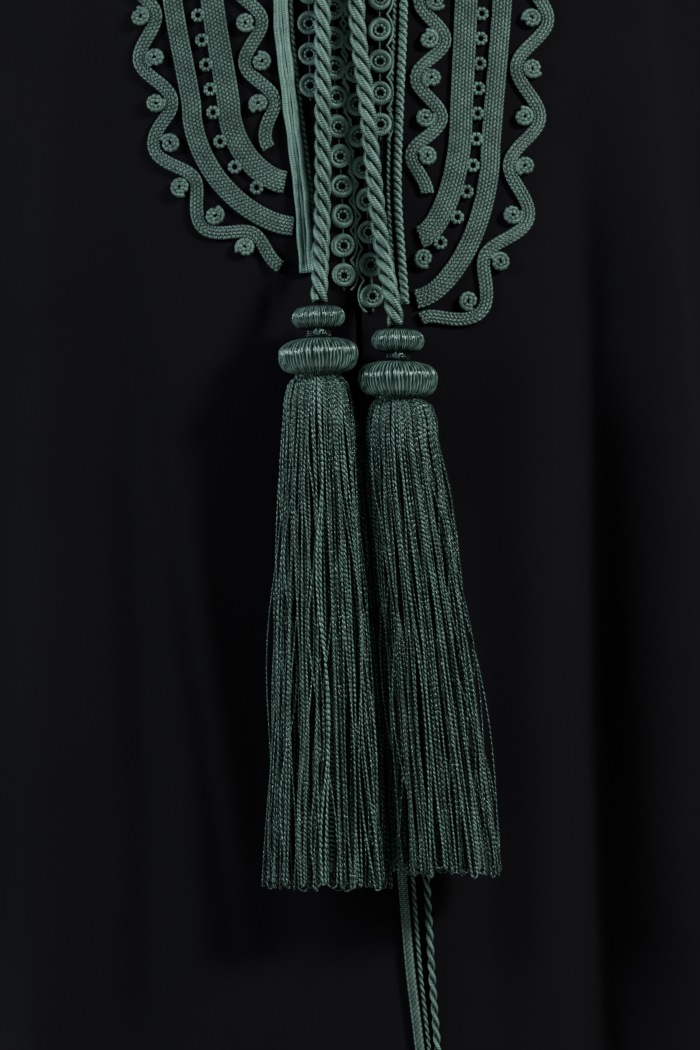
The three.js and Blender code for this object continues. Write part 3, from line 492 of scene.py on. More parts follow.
def panel_point(x, z, panel):
    """Points of the front or the back over places in the XZ plane, moved out by the folds and creases
    square to the level section."""
    face, column, creases = (-1, 2, FRONT_CREASES) if panel == "front" else (1, 3, BACK_CREASES)
    depth = panel_depth(x, z, column)
    turn = body_turn(x, z)
    fold = fold_rise(turn if panel == "front" else 180 - turn, z)
    fold = fold + crease_rise(x, z, creases) * smooth(depth / 60)
    slope = panel_depth(x + 0.5, z, column) - panel_depth(x - 0.5, z, column)
    length = np.hypot(slope, 1)
    inside = depth > 1e-6
    out_x = np.where(inside, -slope / length, np.sign(x))
    out_y = np.where(inside, 1 / length, 0)
    return np.stack([x + fold * out_x, face * (SEAM / 2 + depth + fold * out_y), z + 0 * x], -1)


def front_depth(x, z):
    """How far the front lies in front of the origin at a place, folds and creases included."""
    folds = fold_rise(body_turn(x, z), z)
    return SEAM / 2 + panel_depth(x, z, 2) + folds + crease_rise(x, z, FRONT_CREASES)


def on_front(x, z, height):
    """Points at a height off the front's cloth, straight out."""
    x, z, height = np.broadcast_arrays(x, z, height)
    return np.stack([x, -front_depth(x, z) - height, z], -1)


# ---------------------------------------------------------------- surfaces and meshes


def shell(points, faces, places, painted_light):
    """A surface as a dict: points in millimetres, groups of faces of one size with their corners' UV
    places, and each point's painted light, from 0 for painted shade in a groove to 1 on top."""
    count = int(np.prod(points.shape[:-1]))
    painted_levels = np.broadcast_to(np.asarray(painted_light, dtype=float), points.shape[:-1]).reshape(count)
    return {"points": points.reshape(count, 3), "faces": faces, "places": places, "painted_light": painted_levels}


def joined(shells):
    """Several surfaces as one, with the faces renumbered."""
    offset = 0
    faces = []
    places = []
    for one in shells:
        faces += [group + offset for group in one["faces"]]
        places += one["places"]
        offset += len(one["points"])
    points = np.concatenate([one["points"] for one in shells])
    painted_light = np.concatenate([one["painted_light"] for one in shells])
    return {"points": points, "faces": faces, "places": places, "painted_light": painted_light}


def outward(one):
    """A closed surface turned to face out: its signed volume, summed over fans of triangles, is made
    positive by reversing every face if it comes out negative."""
    volume = 0.0
    for group in one["faces"]:
        p = one["points"][group]
        for k in range(1, group.shape[1] - 1):
            volume += np.einsum("ij,ij->", p[:, 0], np.cross(p[:, k], p[:, k + 1]))
    if volume < 0:
        one["faces"] = [group[:, ::-1] for group in one["faces"]]
        one["places"] = [group[:, ::-1] for group in one["places"]]
    return one


def grid_faces(rows, cols, wrap_cols, wrap_rows, u, v):
    """Four-sided faces between neighbours of a grid and the UV places of their corners. u runs over
    cols (one more where they wrap) and v over rows (one more where they wrap)."""
    r = np.arange(rows if wrap_rows else rows - 1)[:, None]
    c = np.arange(cols if wrap_cols else cols - 1)[None, :]
    r, c = np.broadcast_arrays(r, c)
    up = (r + 1) % rows
    on = (c + 1) % cols
    faces = np.stack([r * cols + c, r * cols + on, up * cols + on, up * cols + c], -1).reshape(-1, 4)
    corner = [(c, r), (c + 1, r), (c + 1, r + 1), (c, r + 1)]
    places = np.stack([np.stack([u[a], v[b]], -1) for a, b in corner], -2).reshape(-1, 4, 2)
    return faces, places


def capped(points, u, v, painted_light):
    """A closed surface from a grid of points whose columns go all the way round, with a flat cap over its
    first and its last row. u is the UV place round it and v along it, and a cap's UV places are 0."""
    rows, cols = points.shape[:2]
    faces, places = grid_faces(rows, cols, True, False, u, v)
    cap = np.arange(cols)[None, :]
    blank = np.zeros((1, cols, 2))
    groups = [faces, cap[:, ::-1], cap + (rows - 1) * cols]
    return outward(shell(points, groups, [places, blank, blank], painted_light))


def tubes(paths, radius, sides, flat=1.0, closed=False, painted_light=1.0):
    """Tubes round many paths of equal count at once. Each ring stands square to its path, with one
    axis to the side and one away from the cloth, which flat scales. Open ends get a flat cap. The UV
    place is the share of a turn and the metres along, from a start and at a rate that differ a little
    for each tube."""
    count, length = paths.shape[:2]
    if closed:
        ahead = unit(np.roll(paths, -1, axis=1) - np.roll(paths, 1, axis=1))
    else:
        ahead = unit(np.gradient(paths, axis=1))
    side = unit(np.cross(AWAY, ahead))
    out = np.cross(ahead, side)
    turn = circle(sides)
    ring = side[:, :, None, :] * np.cos(turn)[:, None] + flat * out[:, :, None, :] * np.sin(turn)[:, None]
    radii = np.broadcast_to(np.asarray(radius, dtype=float), (count, length))
    points = paths[:, :, None, :] + radii[:, :, None, None] * ring
    steps = np.linalg.norm(np.diff(paths, axis=1), axis=2).mean(axis=0) * MM
    if closed:
        steps = np.r_[steps, steps.mean()]
    u = np.arange(sides + 1) / sides
    faces, places = grid_faces(length, sides, True, closed, u, np.r_[0, np.cumsum(steps)])
    starts = (np.arange(count) * length * sides)[:, None, None]
    all_faces = [(faces[None] + starts).reshape(-1, 4)]
    rng = np.random.default_rng(count + 7 * length)
    shift = rng.uniform(0, 0.9, (count, 1, 1, 2))
    stretch = np.ones((count, 1, 1, 2))
    stretch[..., 1] = rng.uniform(0.8, 1.25, (count, 1, 1))
    all_places = [(places[None] * stretch + shift).reshape(-1, 4, 2)]
    if not closed:
        cap = np.arange(sides)[None, :] + starts[:, :, 0]
        blank = np.zeros((count, sides, 2))
        all_faces += [cap[:, ::-1], cap + (length - 1) * sides]
        all_places += [blank, blank]
    level = np.broadcast_to(np.asarray(painted_light, dtype=float), (count, length))
    return outward(shell(points, all_faces, all_places, np.repeat(level[:, :, None], sides, axis=2)))


def plait(across, at, ribs, pitch):
    """Height of a plait, from 0 to 1: ribs side by side, and in each one stitches a pitch apart that
    slant one way, in the next rib the other way. A stitch is a rounded bump with a narrow gap."""
    place = (across + 1) / 2 * ribs
    rib = np.clip(np.floor(place), 0, ribs - 1)
    off = place - rib - 0.5
    way = np.where(rib % 2, 1.0, -1.0)
    phase = at / pitch + 0.55 * way * off + 0.5 * rib
    bump = np.abs(np.sin(np.pi * phase)) ** 0.8
    crown = np.sqrt(np.clip(1 - (1.9 * off) ** 2, 0, 1))
    return (0.1 + 0.9 * bump) * (0.22 + 0.78 * crown)


def tangents(line):
    """Directions along a line of points in the front's plane."""
    return unit(np.gradient(line, axis=0))


def offset(line, away):
    """A line moved sideways, in the front's plane, by away."""
    d = tangents(line)
    return np.column_stack([line[:, 0] - away * d[:, 1], line[:, 1] + away * d[:, 0]])


def ribbon(line, width, thick, ribs, pitch, per_rib=4):
    """A plaited ribbon along a line in the front's plane. Its top is the plait's height over a low
    crown, and its underside lies just off the cloth. The ring of points runs over the top and back."""
    at, line = resample(line, RIBBON_STEP)
    d = tangents(line)
    across = np.linspace(-1, 1, ribs * per_rib + 1)
    height = plait(across[None, :], at[:, None], ribs, pitch)
    edge = np.sqrt(np.clip(1 - across ** 2 * 0.8, 0, 1))
    top = LIFT + thick * (0.42 + 0.34 * edge[None, :]) + STITCH_RISE * (height - 0.55)
    share = np.r_[across, 0.86, -0.86]
    high = np.column_stack([top, np.full((len(at), 2), LIFT * 0.3)])
    half = width / 2
    x = line[:, 0, None] - share[None, :] * half * d[:, 1, None]
    z = line[:, 1, None] + share[None, :] * half * d[:, 0, None]
    u = np.arange(len(share) + 1) / ribs / per_rib
    # Painted light by the plait's height: painted shade in the gaps between stitches and on the underside.
    painted_light = np.column_stack([height, np.zeros((len(at), 2))])
    return capped(on_front(x, z, high), u, at * MM, painted_light)


def circled(centres, reach, turn, lift):
    """Points off the front round each centre, at a reach from it and an angle round it."""
    x = centres[:, 0, None] + reach * np.cos(turn)
    z = centres[:, 1, None] + reach * np.sin(turn)
    return on_front(x, z, lift)


def rings(centres, radius, cord, lift, stitches):
    """Rings of stitched cord on the front, one at each centre: closed circles whose cord swells at each
    of its stitches, with painted shade between them."""
    turn = circle(3 * stitches)
    beat = np.abs(np.sin(stitches * turn / 2)) ** 0.7
    paths = circled(centres, radius, turn, lift)
    return tubes(paths, cord * (0.8 + 0.22 * beat), 7, closed=True, painted_light=0.25 + 0.75 * beat)


def gimp_rings(centres, radius, cord, lift):
    """Rings of smooth gimp on the front, each a little out of round, thicker at one side, and turned its
    own way."""
    own = 2.4 * np.arange(len(centres))[:, None]
    turn = circle(44)
    reach = radius * (1 + 0.035 * np.sin(2 * turn + own))
    size = cord * (0.86 + 0.14 * np.sin(turn + 0.6 * own))
    # Painted shade in fine bands round the ring, between lighter ones.
    level = 0.72 + 0.28 * np.abs(np.sin(11 * turn + own))
    return tubes(circled(centres, reach, turn, lift), size, 10, flat=0.8, closed=True, painted_light=level)


def coils(centres, radius, cord, windings, lift):
    """Flat coils of stitched cord on the front: each is a spiral from its centre out to the radius, and
    stands a little higher in the middle. The cord swells at each of its stitches, with painted shade
    between them."""
    s = np.linspace(0, 1, int(27 * windings))
    turn = 2.4 * np.arange(len(centres))[:, None] + 2 * np.pi * windings * s
    reach = radius * (0.16 + 0.84 * s)
    along_it = np.cumsum(reach) * 2 * np.pi * windings / len(s)
    beat = np.abs(np.sin(np.pi * along_it / STITCH)) ** 0.7
    paths = circled(centres, reach, turn, lift + 0.5 * (1 - s))
    return tubes(paths, cord * (0.84 + 0.2 * beat), 6, painted_light=0.2 + 0.8 * beat)


def twisted(spine, strands, helix, cord, lay, sides, flat=1.0, start=0.0):
    """A cord of twisted strands round a spine: each strand's centre turns about the spine once in a lay,
    so that it runs down from left to right in front. It has painted light the farther out it lies, and
    painted shade towards the spine, where the strands meet."""
    ahead = unit(np.gradient(spine, axis=0))
    side = unit(np.cross(AWAY, ahead))
    side = side * np.sign(side[:, :1] + 1e-9)
    out = unit(AWAY + ahead * ahead[:, 1:2])
    rising = np.sign(spine[-1, 2] - spine[0, 2])
    turn = start + 2 * np.pi * (np.arange(strands)[:, None] / strands + rising * run(spine)[None, :] / lay)
    sideways = side[None] * np.cos(turn)[..., None]
    forwards = flat * out[None] * np.sin(turn)[..., None]
    one = tubes(spine[None] + helix * (sideways + forwards), cord, sides)
    far = one["points"].reshape(strands, len(spine), sides, 3) - spine[None, :, None, :]
    # Painted shade towards the spine, where the strands meet; painted light on their outer sides.
    level = smooth((np.linalg.norm(far, axis=3) - helix + 0.02 * cord) / (0.94 * cord))
    one["painted_light"] = np.maximum(level, 0.04).ravel()
    return one


def mesh_piece(name, one, material, nodes):
    """An object from a surface, in metres, with its UV places and its painted light and shade as an
    attribute. It rides on the garment's body and stands for the named nodes."""
    mesh = bpy.data.meshes.new(name)
    points = one["points"] * MM
    mesh.vertices.add(len(points))
    mesh.vertices.foreach_set("co", points.astype(np.float32).ravel())
    loops = np.concatenate([group.ravel() for group in one["faces"]]).astype(np.int32)
    sizes = [np.full(len(group), group.shape[1]) for group in one["faces"]]
    totals = np.concatenate(sizes).astype(np.int32)
    mesh.loops.add(len(loops))
    mesh.loops.foreach_set("vertex_index", loops)
    mesh.polygons.add(len(totals))
    mesh.polygons.foreach_set("loop_start", np.r_[0, np.cumsum(totals)[:-1]].astype(np.int32))
    mesh.polygons.foreach_set("loop_total", totals)
    mesh.polygons.foreach_set("use_smooth", np.ones(len(totals), dtype=bool))
    layer = mesh.uv_layers.new(name="surface")
    places = np.concatenate([group.reshape(-1, 2) for group in one["places"]])
    layer.data.foreach_set("uv", places.astype(np.float32).ravel())
    # The painted light and shade of each point, which the trim's colour reads.
    level = mesh.attributes.new("painted_light", "FLOAT", "POINT")
    level.data.foreach_set("value", one["painted_light"].astype(np.float32))
    mesh.materials.append(material)
    mesh.update(calc_edges=True)
    mesh.validate()
    piece = bpy.data.objects.new(name, mesh)
    bpy.context.scene.collection.objects.link(piece)
    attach(piece, "root")
    if nodes:
        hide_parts(*nodes)
    return piece


# ---------------------------------------------------------------- materials


def add_node(tree, kind, values=None, **settings):
    """A shader node with its settings and input values; a value that is a socket is linked."""
    node = tree.nodes.new(kind)
    for key, value in settings.items():
        setattr(node, key, value)
    for key, value in (values or {}).items():
        if isinstance(value, bpy.types.NodeSocket):
            tree.links.new(value, node.inputs[key])
        else:
            node.inputs[key].default_value = value
    return node


def sums(tree, operation, a, b=0.0, c=0.0):
    """The result of a Math node."""
    return add_node(tree, "ShaderNodeMath", {0: a, 1: b, 2: c}, operation=operation).outputs[0]


def group_with(name, inputs, outputs):
    """A new shader node group with named sockets, and its two end nodes."""
    tree = bpy.data.node_groups.new(name, "ShaderNodeTree")
    for label, kind, value in inputs:
        socket = tree.interface.new_socket(name=label, in_out="INPUT", socket_type=kind)
        if value is not None:
            socket.default_value = value
    for label in outputs:
        tree.interface.new_socket(name=label, in_out="OUTPUT", socket_type="NodeSocketFloat")
    return tree, tree.nodes.new("NodeGroupInput"), tree.nodes.new("NodeGroupOutput")


def stretched(tree, split, across, down):
    """A place whose X and Y are each scaled by their own number."""
    return add_node(tree, "ShaderNodeCombineXYZ", {
        "X": sums(tree, "MULTIPLY", split.outputs["X"], across),
        "Y": sums(tree, "MULTIPLY", split.outputs["Y"], down),
    }).outputs[0]


def thread_group():
    """Silky thread on a cord's own UV: fibres that slant round it, a slower unevenness, and tone, with
    painted shade between the fibres.
    """
    tree, start, end = group_with("silky thread", [
        ("Place", "NodeSocketVector", None),
        ("Fibre pitch", "NodeSocketFloat", 0.0006),
        ("Turns", "NodeSocketFloat", 2.0),
    ], ["Height", "Tone"])
    split = add_node(tree, "ShaderNodeSeparateXYZ", {0: start.outputs["Place"]})
    down = sums(tree, "DIVIDE", split.outputs["Y"], start.outputs["Fibre pitch"])
    phase = sums(tree, "MULTIPLY_ADD", split.outputs["X"], start.outputs["Turns"], down)
    wave = sums(tree, "SINE", sums(tree, "MULTIPLY", phase, 2 * np.pi))
    grain = add_node(tree, "ShaderNodeTexNoise", {
        "Vector": stretched(tree, split, 5.0, 900.0), "Scale": 1.0, "Detail": 2.0})
    patch = add_node(tree, "ShaderNodeTexNoise", {
        "Vector": stretched(tree, split, 1.5, 120.0), "Scale": 1.0, "Detail": 3.0})
    fibre = sums(tree, "MULTIPLY_ADD", wave, 0.3, 0.5)
    tree.links.new(sums(tree, "MULTIPLY_ADD", grain.outputs[0], 0.6, fibre), end.inputs["Height"])
    # The tone is a slow random patchiness plus painted shade between the fibres.
    tone = sums(tree, "MULTIPLY_ADD", patch.outputs[0], 0.9, sums(tree, "MULTIPLY", fibre, 0.5))
    tree.links.new(tone, end.inputs["Tone"])
    return tree


def crepe_group():
    """Crepe twill on the cloth's UV in metres: fine slanting ribs, broken by a pebbled grain, and tone."""
    tree, start, end = group_with("crepe twill", [
        ("Place", "NodeSocketVector", None),
        ("Rib pitch", "NodeSocketFloat", 0.0009),
    ], ["Height", "Tone"])
    place = start.outputs["Place"]
    grain = add_node(tree, "ShaderNodeTexNoise", {
        "Vector": place, "Scale": 1100.0, "Detail": 2.0, "Roughness": 0.6})
    split = add_node(tree, "ShaderNodeSeparateXYZ", {0: place})
    slant = sums(tree, "MULTIPLY_ADD", split.outputs["Y"], 1.35, split.outputs["X"])
    ribs = sums(tree, "DIVIDE", slant, start.outputs["Rib pitch"])
    phase = sums(tree, "MULTIPLY_ADD", grain.outputs[0], 1.4, ribs)
    rib = sums(tree, "SINE", sums(tree, "MULTIPLY", phase, 2 * np.pi))
    tree.links.new(sums(tree, "MULTIPLY_ADD", rib, 0.22, grain.outputs[0]), end.inputs["Height"])
    broad = add_node(tree, "ShaderNodeTexNoise", {
        "Vector": place, "Scale": 9.0, "Detail": 4.0, "Roughness": 0.6})
    tree.links.new(sums(tree, "MULTIPLY_ADD", grain.outputs[0], 0.5, broad.outputs[0]), end.inputs["Tone"])
    return tree


def colour_mix(tree, share, first, second):
    """A colour between two by a share."""
    node = add_node(tree, "ShaderNodeMix", data_type="RGBA")
    tree.links.new(share, node.inputs[0])
    node.inputs[6].default_value = (*first, 1.0)
    node.inputs[7].default_value = (*second, 1.0)
    return node.outputs[2]


def new_material(name):
    """An empty node material with its Principled shader."""
    material = bpy.data.materials.new(name)
    material.use_nodes = True
    tree = material.node_tree
    tree.nodes.clear()
    shader = tree.nodes.new("ShaderNodeBsdfPrincipled")
    output = tree.nodes.new("ShaderNodeOutputMaterial")
    tree.links.new(shader.outputs[0], output.inputs[0])
    return material, tree, shader


def trim_material(group, settings, title, fibre_pitch, turns, rough, depth, fibre_shade):
    """Green silky trim: painted shade in its grooves and painted light where it is raised, unevenly so from
    place to place, with fibres in relief that have painted shade between them by the fibre shade."""
    material, tree, shader = new_material(title)
    uv = add_node(tree, "ShaderNodeUVMap", uv_map="surface")
    thread = add_node(tree, "ShaderNodeGroup", node_tree=group)
    tree.links.new(uv.outputs[0], thread.inputs["Place"])
    thread.inputs["Fibre pitch"].default_value = fibre_pitch
    thread.inputs["Turns"].default_value = turns
    # Painted light and shade: the colour runs from the painted shade in the grooves and on the underside up
    # to the trim's colour on top.
    painted_light = add_node(tree, "ShaderNodeAttribute", attribute_name="painted_light")
    height = sums(tree, "POWER", painted_light.outputs["Fac"], 2.1)
    # Painted shade between the fibres, deeper by the fibre shade.
    fibre_shade_offset = sums(tree, "SUBTRACT", thread.outputs["Height"], 0.8)
    tone = sums(tree, "MULTIPLY_ADD", fibre_shade_offset, fibre_shade, thread.outputs["Tone"])
    share = sums(tree, "MULTIPLY", height, sums(tree, "MAXIMUM", tone, 0.0))
    place = add_node(tree, "ShaderNodeTexCoord")
    wear = add_node(tree, "ShaderNodeTexNoise", {
        "Vector": place.outputs["Object"], "Scale": 110.0, "Detail": 2.0})
    share = sums(tree, "MULTIPLY", share, sums(tree, "MULTIPLY_ADD", wear.outputs[0], 1.7, 0.15))
    colour = colour_mix(tree, share, settings.trim_painted_shade, settings.trim_light)
    tree.links.new(colour, shader.inputs["Base Color"])
    gloss = sums(tree, "MULTIPLY_ADD", thread.outputs["Tone"], -0.16, rough + 0.1)
    tree.links.new(gloss, shader.inputs["Roughness"])
    bump = add_node(tree, "ShaderNodeBump", {
        "Strength": 1.0, "Distance": depth, "Height": thread.outputs["Height"]})
    tree.links.new(bump.outputs[0], shader.inputs["Normal"])
    shader.inputs["Specular IOR Level"].default_value = 0.55
    shader.inputs["Specular Tint"].default_value = (0.72, 1.0, 0.90, 1.0)
    shader.inputs["Sheen Weight"].default_value = 0.03
    shader.inputs["Sheen Roughness"].default_value = 0.35
    shader.inputs["Sheen Tint"].default_value = (0.75, 1.0, 0.92, 1.0)
    return material


def cloth_material(group, settings):
    """Black crepe twill: matt, with a faint cool bloom at grazing light."""
    material, tree, shader = new_material("black crepe twill")
    uv = add_node(tree, "ShaderNodeUVMap", uv_map="surface")
    weave = add_node(tree, "ShaderNodeGroup", node_tree=group)
    tree.links.new(uv.outputs[0], weave.inputs["Place"])
    dark = tuple(0.62 * channel for channel in settings.cloth_colour)
    share = sums(tree, "SUBTRACT", weave.outputs["Tone"], 0.25)
    tree.links.new(colour_mix(tree, share, dark, settings.cloth_colour), shader.inputs["Base Color"])
    gloss = sums(tree, "MULTIPLY_ADD", weave.outputs["Tone"], -0.1, 0.92)
    tree.links.new(gloss, shader.inputs["Roughness"])
    bump = add_node(tree, "ShaderNodeBump", {
        "Strength": 0.35, "Distance": 0.0003, "Height": weave.outputs["Height"]})
    tree.links.new(bump.outputs[0], shader.inputs["Normal"])
    shader.inputs["Specular IOR Level"].default_value = 0.08
    shader.inputs["Sheen Weight"].default_value = 0.02
    shader.inputs["Sheen Roughness"].default_value = 0.5
    shader.inputs["Sheen Tint"].default_value = (0.72, 0.76, 1.0, 1.0)
    return material


def floor_material():
    """A plain pale floor with a very faint mottle."""
    material, tree, shader = new_material("pale floor")
    place = add_node(tree, "ShaderNodeTexCoord")
    mottle = add_node(tree, "ShaderNodeTexNoise", {
        "Vector": place.outputs["Object"], "Scale": 3.0, "Detail": 3.0})
    colour = colour_mix(tree, mottle.outputs[0], (0.60, 0.60, 0.59), (0.66, 0.66, 0.65))
    tree.links.new(colour, shader.inputs["Base Color"])
    shader.inputs["Roughness"].default_value = 0.8
    return material


# The looks of the trim. The pitch and the depth of the fibres are in metres. The fibre shade is how dark
# the painted shade between the fibres is.
TRIM_LOOKS = {
    "braid": {
        "title": "green plaited braid", "fibre_pitch": 0.0006, "turns": 1.0, "rough": 0.38,
        "depth": 0.00014, "fibre_shade": 0.7},
    "rosette": {
        "title": "green stitched cord", "fibre_pitch": 0.0007, "turns": 2.0, "rough": 0.36,
        "depth": 0.00015, "fibre_shade": 0.6},
    "rope": {
        "title": "green twisted rope", "fibre_pitch": 0.0011, "turns": 3.0, "rough": 0.36,
        "depth": 0.0002, "fibre_shade": 1.0},
    "tassel": {
        "title": "green tassel thread", "fibre_pitch": 0.0023, "turns": 1.0, "rough": 0.24,
        "depth": 0.0004, "fibre_shade": 2.5},
    "tie": {
        "title": "green tie cord", "fibre_pitch": 0.0009, "turns": 2.0, "rough": 0.42,
        "depth": 0.00015, "fibre_shade": 0.7},
}
LOOKS = {}


def look(name):
    """One of the garment's materials, made when it is first asked for."""
    settings = bpy.context.scene.abaya
    if not LOOKS:
        LOOKS["thread"] = thread_group()
        LOOKS["crepe"] = crepe_group()
    if name not in LOOKS:
        if name == "cloth":
            LOOKS[name] = cloth_material(LOOKS["crepe"], settings)
        else:
            LOOKS[name] = trim_material(LOOKS["thread"], settings, **TRIM_LOOKS[name])
    return LOOKS[name]


# ---------------------------------------------------------------- the cloth pieces


def top_edge(share, panel):
    """Where a column of a half panel ends: along the neckline, then the shoulder seam, then the armhole."""
    neck_turn = np.radians(90 * np.minimum(share, NECK_END) / NECK_END)
    neck_x = NECK_HALF * np.sin(neck_turn)
    neck_z = NECK_POINT_Z - NECK_DROP[panel] * np.maximum(np.cos(neck_turn), 0) ** 1.2
    on_seam = (share - NECK_END) / (SHOULDER_END - NECK_END)
    seam_x = mix(NECK_HALF, ARMHOLE["x"] - ARMHOLE["lean"], on_seam)
    arm_x, arm_z = armhole(np.pi * (share - SHOULDER_END) / (1 - SHOULDER_END))
    x = np.where(share <= NECK_END, neck_x, np.where(share <= SHOULDER_END, seam_x, arm_x))
    z = np.where(share <= NECK_END, neck_z, np.where(share <= SHOULDER_END, shoulder_line(seam_x), arm_z))
    return x, z


def armhole(turn):
    """The armhole's oval, which leans and bulges outwards."""
    x = ARMHOLE["x"] - ARMHOLE["lean"] * np.cos(turn) + ARMHOLE["bulge"] * np.sin(turn)
    return x, ARMHOLE["z"] + ARMHOLE["half_height"] * np.cos(turn)


def cloth_shell(points, keep=None):
    """A grid of cloth as a surface whose UV is the length along its rows and columns, in metres."""
    rows, cols = points.shape[:2]
    r, c = np.meshgrid(np.arange(rows - 1), np.arange(cols - 1), indexing="ij")
    corners = [(r, c), (r, c + 1), (r + 1, c + 1), (r + 1, c)]
    faces = np.stack([a * cols + b for a, b in corners], -1)
    middle = cols // 2
    across = np.cumsum(np.linalg.norm(np.diff(points, axis=1, prepend=points[:, :1]), axis=2), axis=1)
    across = across - across[:, middle:middle + 1]
    up = np.cumsum(np.linalg.norm(np.diff(points, axis=0, prepend=points[:1]), axis=2), axis=0)
    places = np.stack([np.stack([across[a, b], up[a, b]], -1) for a, b in corners], -2) * MM
    if keep is not None:
        faces = faces[keep]
        places = places[keep]
    faces = faces.reshape(-1, 4)
    places = places.reshape(-1, 4, 2)
    used, renumbered = np.unique(faces, return_inverse=True)
    flat_points = points.reshape(-1, 3)[used]
    return shell(flat_points, [renumbered.reshape(-1, 4)], [places], 1.0)


def panel_shell(panel):
    """The front or the back as a grid: its columns run from the hem to the neckline, the shoulder or the
    armhole, and its rows are level below the yoke. In front, the middle column is open above the slit's
    foot, and the nearest columns close up to the slit."""
    front = panel == "front"
    shares = np.unique(np.concatenate([np.linspace(a, b, n) for a, b, n in COLUMNS[panel]]))
    levels = [mix(a, b, np.linspace(0, 1, n) ** power) for a, b, n, power in LEVELS[panel]]
    levels = np.unique(np.concatenate(levels))
    levels = np.unique(np.r_[levels[np.abs(levels - SLIT_FOOT_LEVEL) > 1e-3], SLIT_FOOT_LEVEL])
    right = shares if front else shares[1:]
    side = np.r_[np.full(len(shares), -1.0), np.ones(len(right))][None, :]
    share = np.r_[shares[::-1], right][None, :]
    level = levels[:, None]
    top_z = top_edge(share, panel)[1]
    z = np.where(level <= 0, mix(YOKE_Z, HEM_Z, -level), mix(YOKE_Z, top_z, level))
    high = np.maximum(0, level)

    def place(at_share):
        """Half width at a share: a sine below the yoke, which turns into the top edge's own share above."""
        edge_x, edge_z = top_edge(at_share, panel)
        return reach_at(z) * mix(np.sin(np.pi / 2 * at_share), edge_x / reach_at(edge_z), high)

    x = side * place(share)
    if front:
        slit_x = along(SLIT, 1, z) + side * along(SLIT, 2, z)
        near = mix(slit_x, side * place(np.full_like(share, FIRST_COLUMN)), share / FIRST_COLUMN)
        x = np.where(share < FIRST_COLUMN, near, x)
    points = panel_point(x, z, panel)
    keep = np.ones((len(levels) - 1, share.size - 1), dtype=bool)
    if front:
        keep[levels[:-1] >= SLIT_FOOT_LEVEL - 1e-9, len(shares) - 1] = False
    else:
        points = points[:, ::-1]
    return cloth_shell(points, keep)


def sleeve_shell(side):
    """A sleeve: rings that start on the armhole and turn smoothly into ovals between the outer and the
    inner line, with three slow folds round it and soft creases."""
    turn = np.linspace(0, 2 * np.pi, SLEEVE_GRID["around"] + 1)[None, :]
    t = np.r_[0.003, np.linspace(0.012, 1, SLEEVE_GRID["rows"])][:, None]
    hole_x, hole_z = armhole(turn)
    in_front = np.sin(turn) >= 0
    front_y = panel_point(hole_x, hole_z, "front")[..., 1]
    back_x, back_z = armhole(2 * np.pi - turn)
    back_y = panel_point(back_x, back_z, "back")[..., 1]
    hole_y = np.where(in_front, front_y, back_y)
    hole_y = np.where(np.abs(np.sin(turn)) < 1e-6, 0, hole_y)
    own = (1 - t) ** 3
    out_x, out_z, in_x, in_z, mid_y, depth = [along(SLEEVE, k, t) for k in range(1, 7)]
    cos = np.cos(turn)
    sin = np.sin(turn)
    rise = SLEEVE_FOLD * smooth(t * 3) * np.sin(3 * turn + 2.2 * t)
    for at, centre, length, width, slant, height in SLEEVE_CREASES:
        along_it = (t - at) / length
        away = (np.degrees(turn) - centre - slant * along_it / 2 + 540) % 360 - 180
        bell = np.exp(-0.5 * along_it ** 2) * np.exp(-0.5 * (away / width) ** 2)
        rise = rise + height * bell * smooth(t * 9)
    fold = 1 + rise / depth
    x = (out_x + in_x) / 2 + fold * cos * (out_x - in_x) / 2 + own * ARMHOLE["bulge"] * np.abs(sin)
    z = (out_z + in_z) / 2 + fold * cos * (out_z - in_z) / 2
    y = mix(mid_y - fold * sin * depth, hole_y, own)
    points = np.stack([side * x, y, z], -1)
    points[:, -1] = points[:, 0]
    if side < 0:
        points = points[:, ::-1]
    return weld_seam(cloth_shell(points), SLEEVE_GRID["around"])


def weld_seam(one, around):
    """The first and the last column of a tube of cloth made one."""
    faces = one["faces"][0]
    faces = np.where(faces % (around + 1) == around, faces - around, faces)
    used, renumbered = np.unique(faces, return_inverse=True)
    one["points"] = one["points"][used]
    one["painted_light"] = one["painted_light"][used]
    one["faces"] = [renumbered.reshape(-1, 4)]
    return one


def cloth_piece(name, one, node):
    """A piece of cloth: its outer surface, made a thin wall inwards."""
    piece = mesh_piece(name, one, look("cloth"), [node])
    wall = piece.modifiers.new("cloth wall", "SOLIDIFY")
    wall.thickness = bpy.context.scene.abaya.cloth_thickness
    wall.offset = -1.0
    return piece


# ---------------------------------------------------------------- the trim


def lobe_line(lobe, top_z):
    """Points down a lobe in the front's plane: straight, a slant, then a quarter oval whose cosine and
    sine are each raised to a power."""
    side, top, bend, bend_z, end, foot_z = lobe
    turn = np.radians(np.linspace(0, 90, 10))
    cosine = np.maximum(np.cos(turn), 0) ** LOBE_POWER["cosine"]
    sine = np.sin(turn) ** LOBE_POWER["sine"]
    x = np.r_[np.full(10, float(top)), end + (bend - end) * cosine]
    z = np.r_[np.linspace(top_z, LEAN_TOP_Z, 10), bend_z + (foot_z - bend_z) * sine]
    return np.column_stack([side * x, z])


def middle_line(lobe, wave):
    """The middle line of a wave, which keeps beside its lobe, with how far along it each point is."""
    line = resample(lobe_line(lobe, wave["top_z"]), 1.0)[1]
    return resample(offset(line, lobe[0] * wave["off"]), 1.0)


def wave_line(lobe, wave):
    """A sine that swings from side to side of the wave's middle line."""
    at, middle = middle_line(lobe, wave)
    within = at <= at[-1] - wave["stop"] + 1e-6
    away = wave["swing"] * np.sin(2 * np.pi * (at / wave["length"] + wave["phase"]))
    return offset(middle, lobe[0] * away)[within]


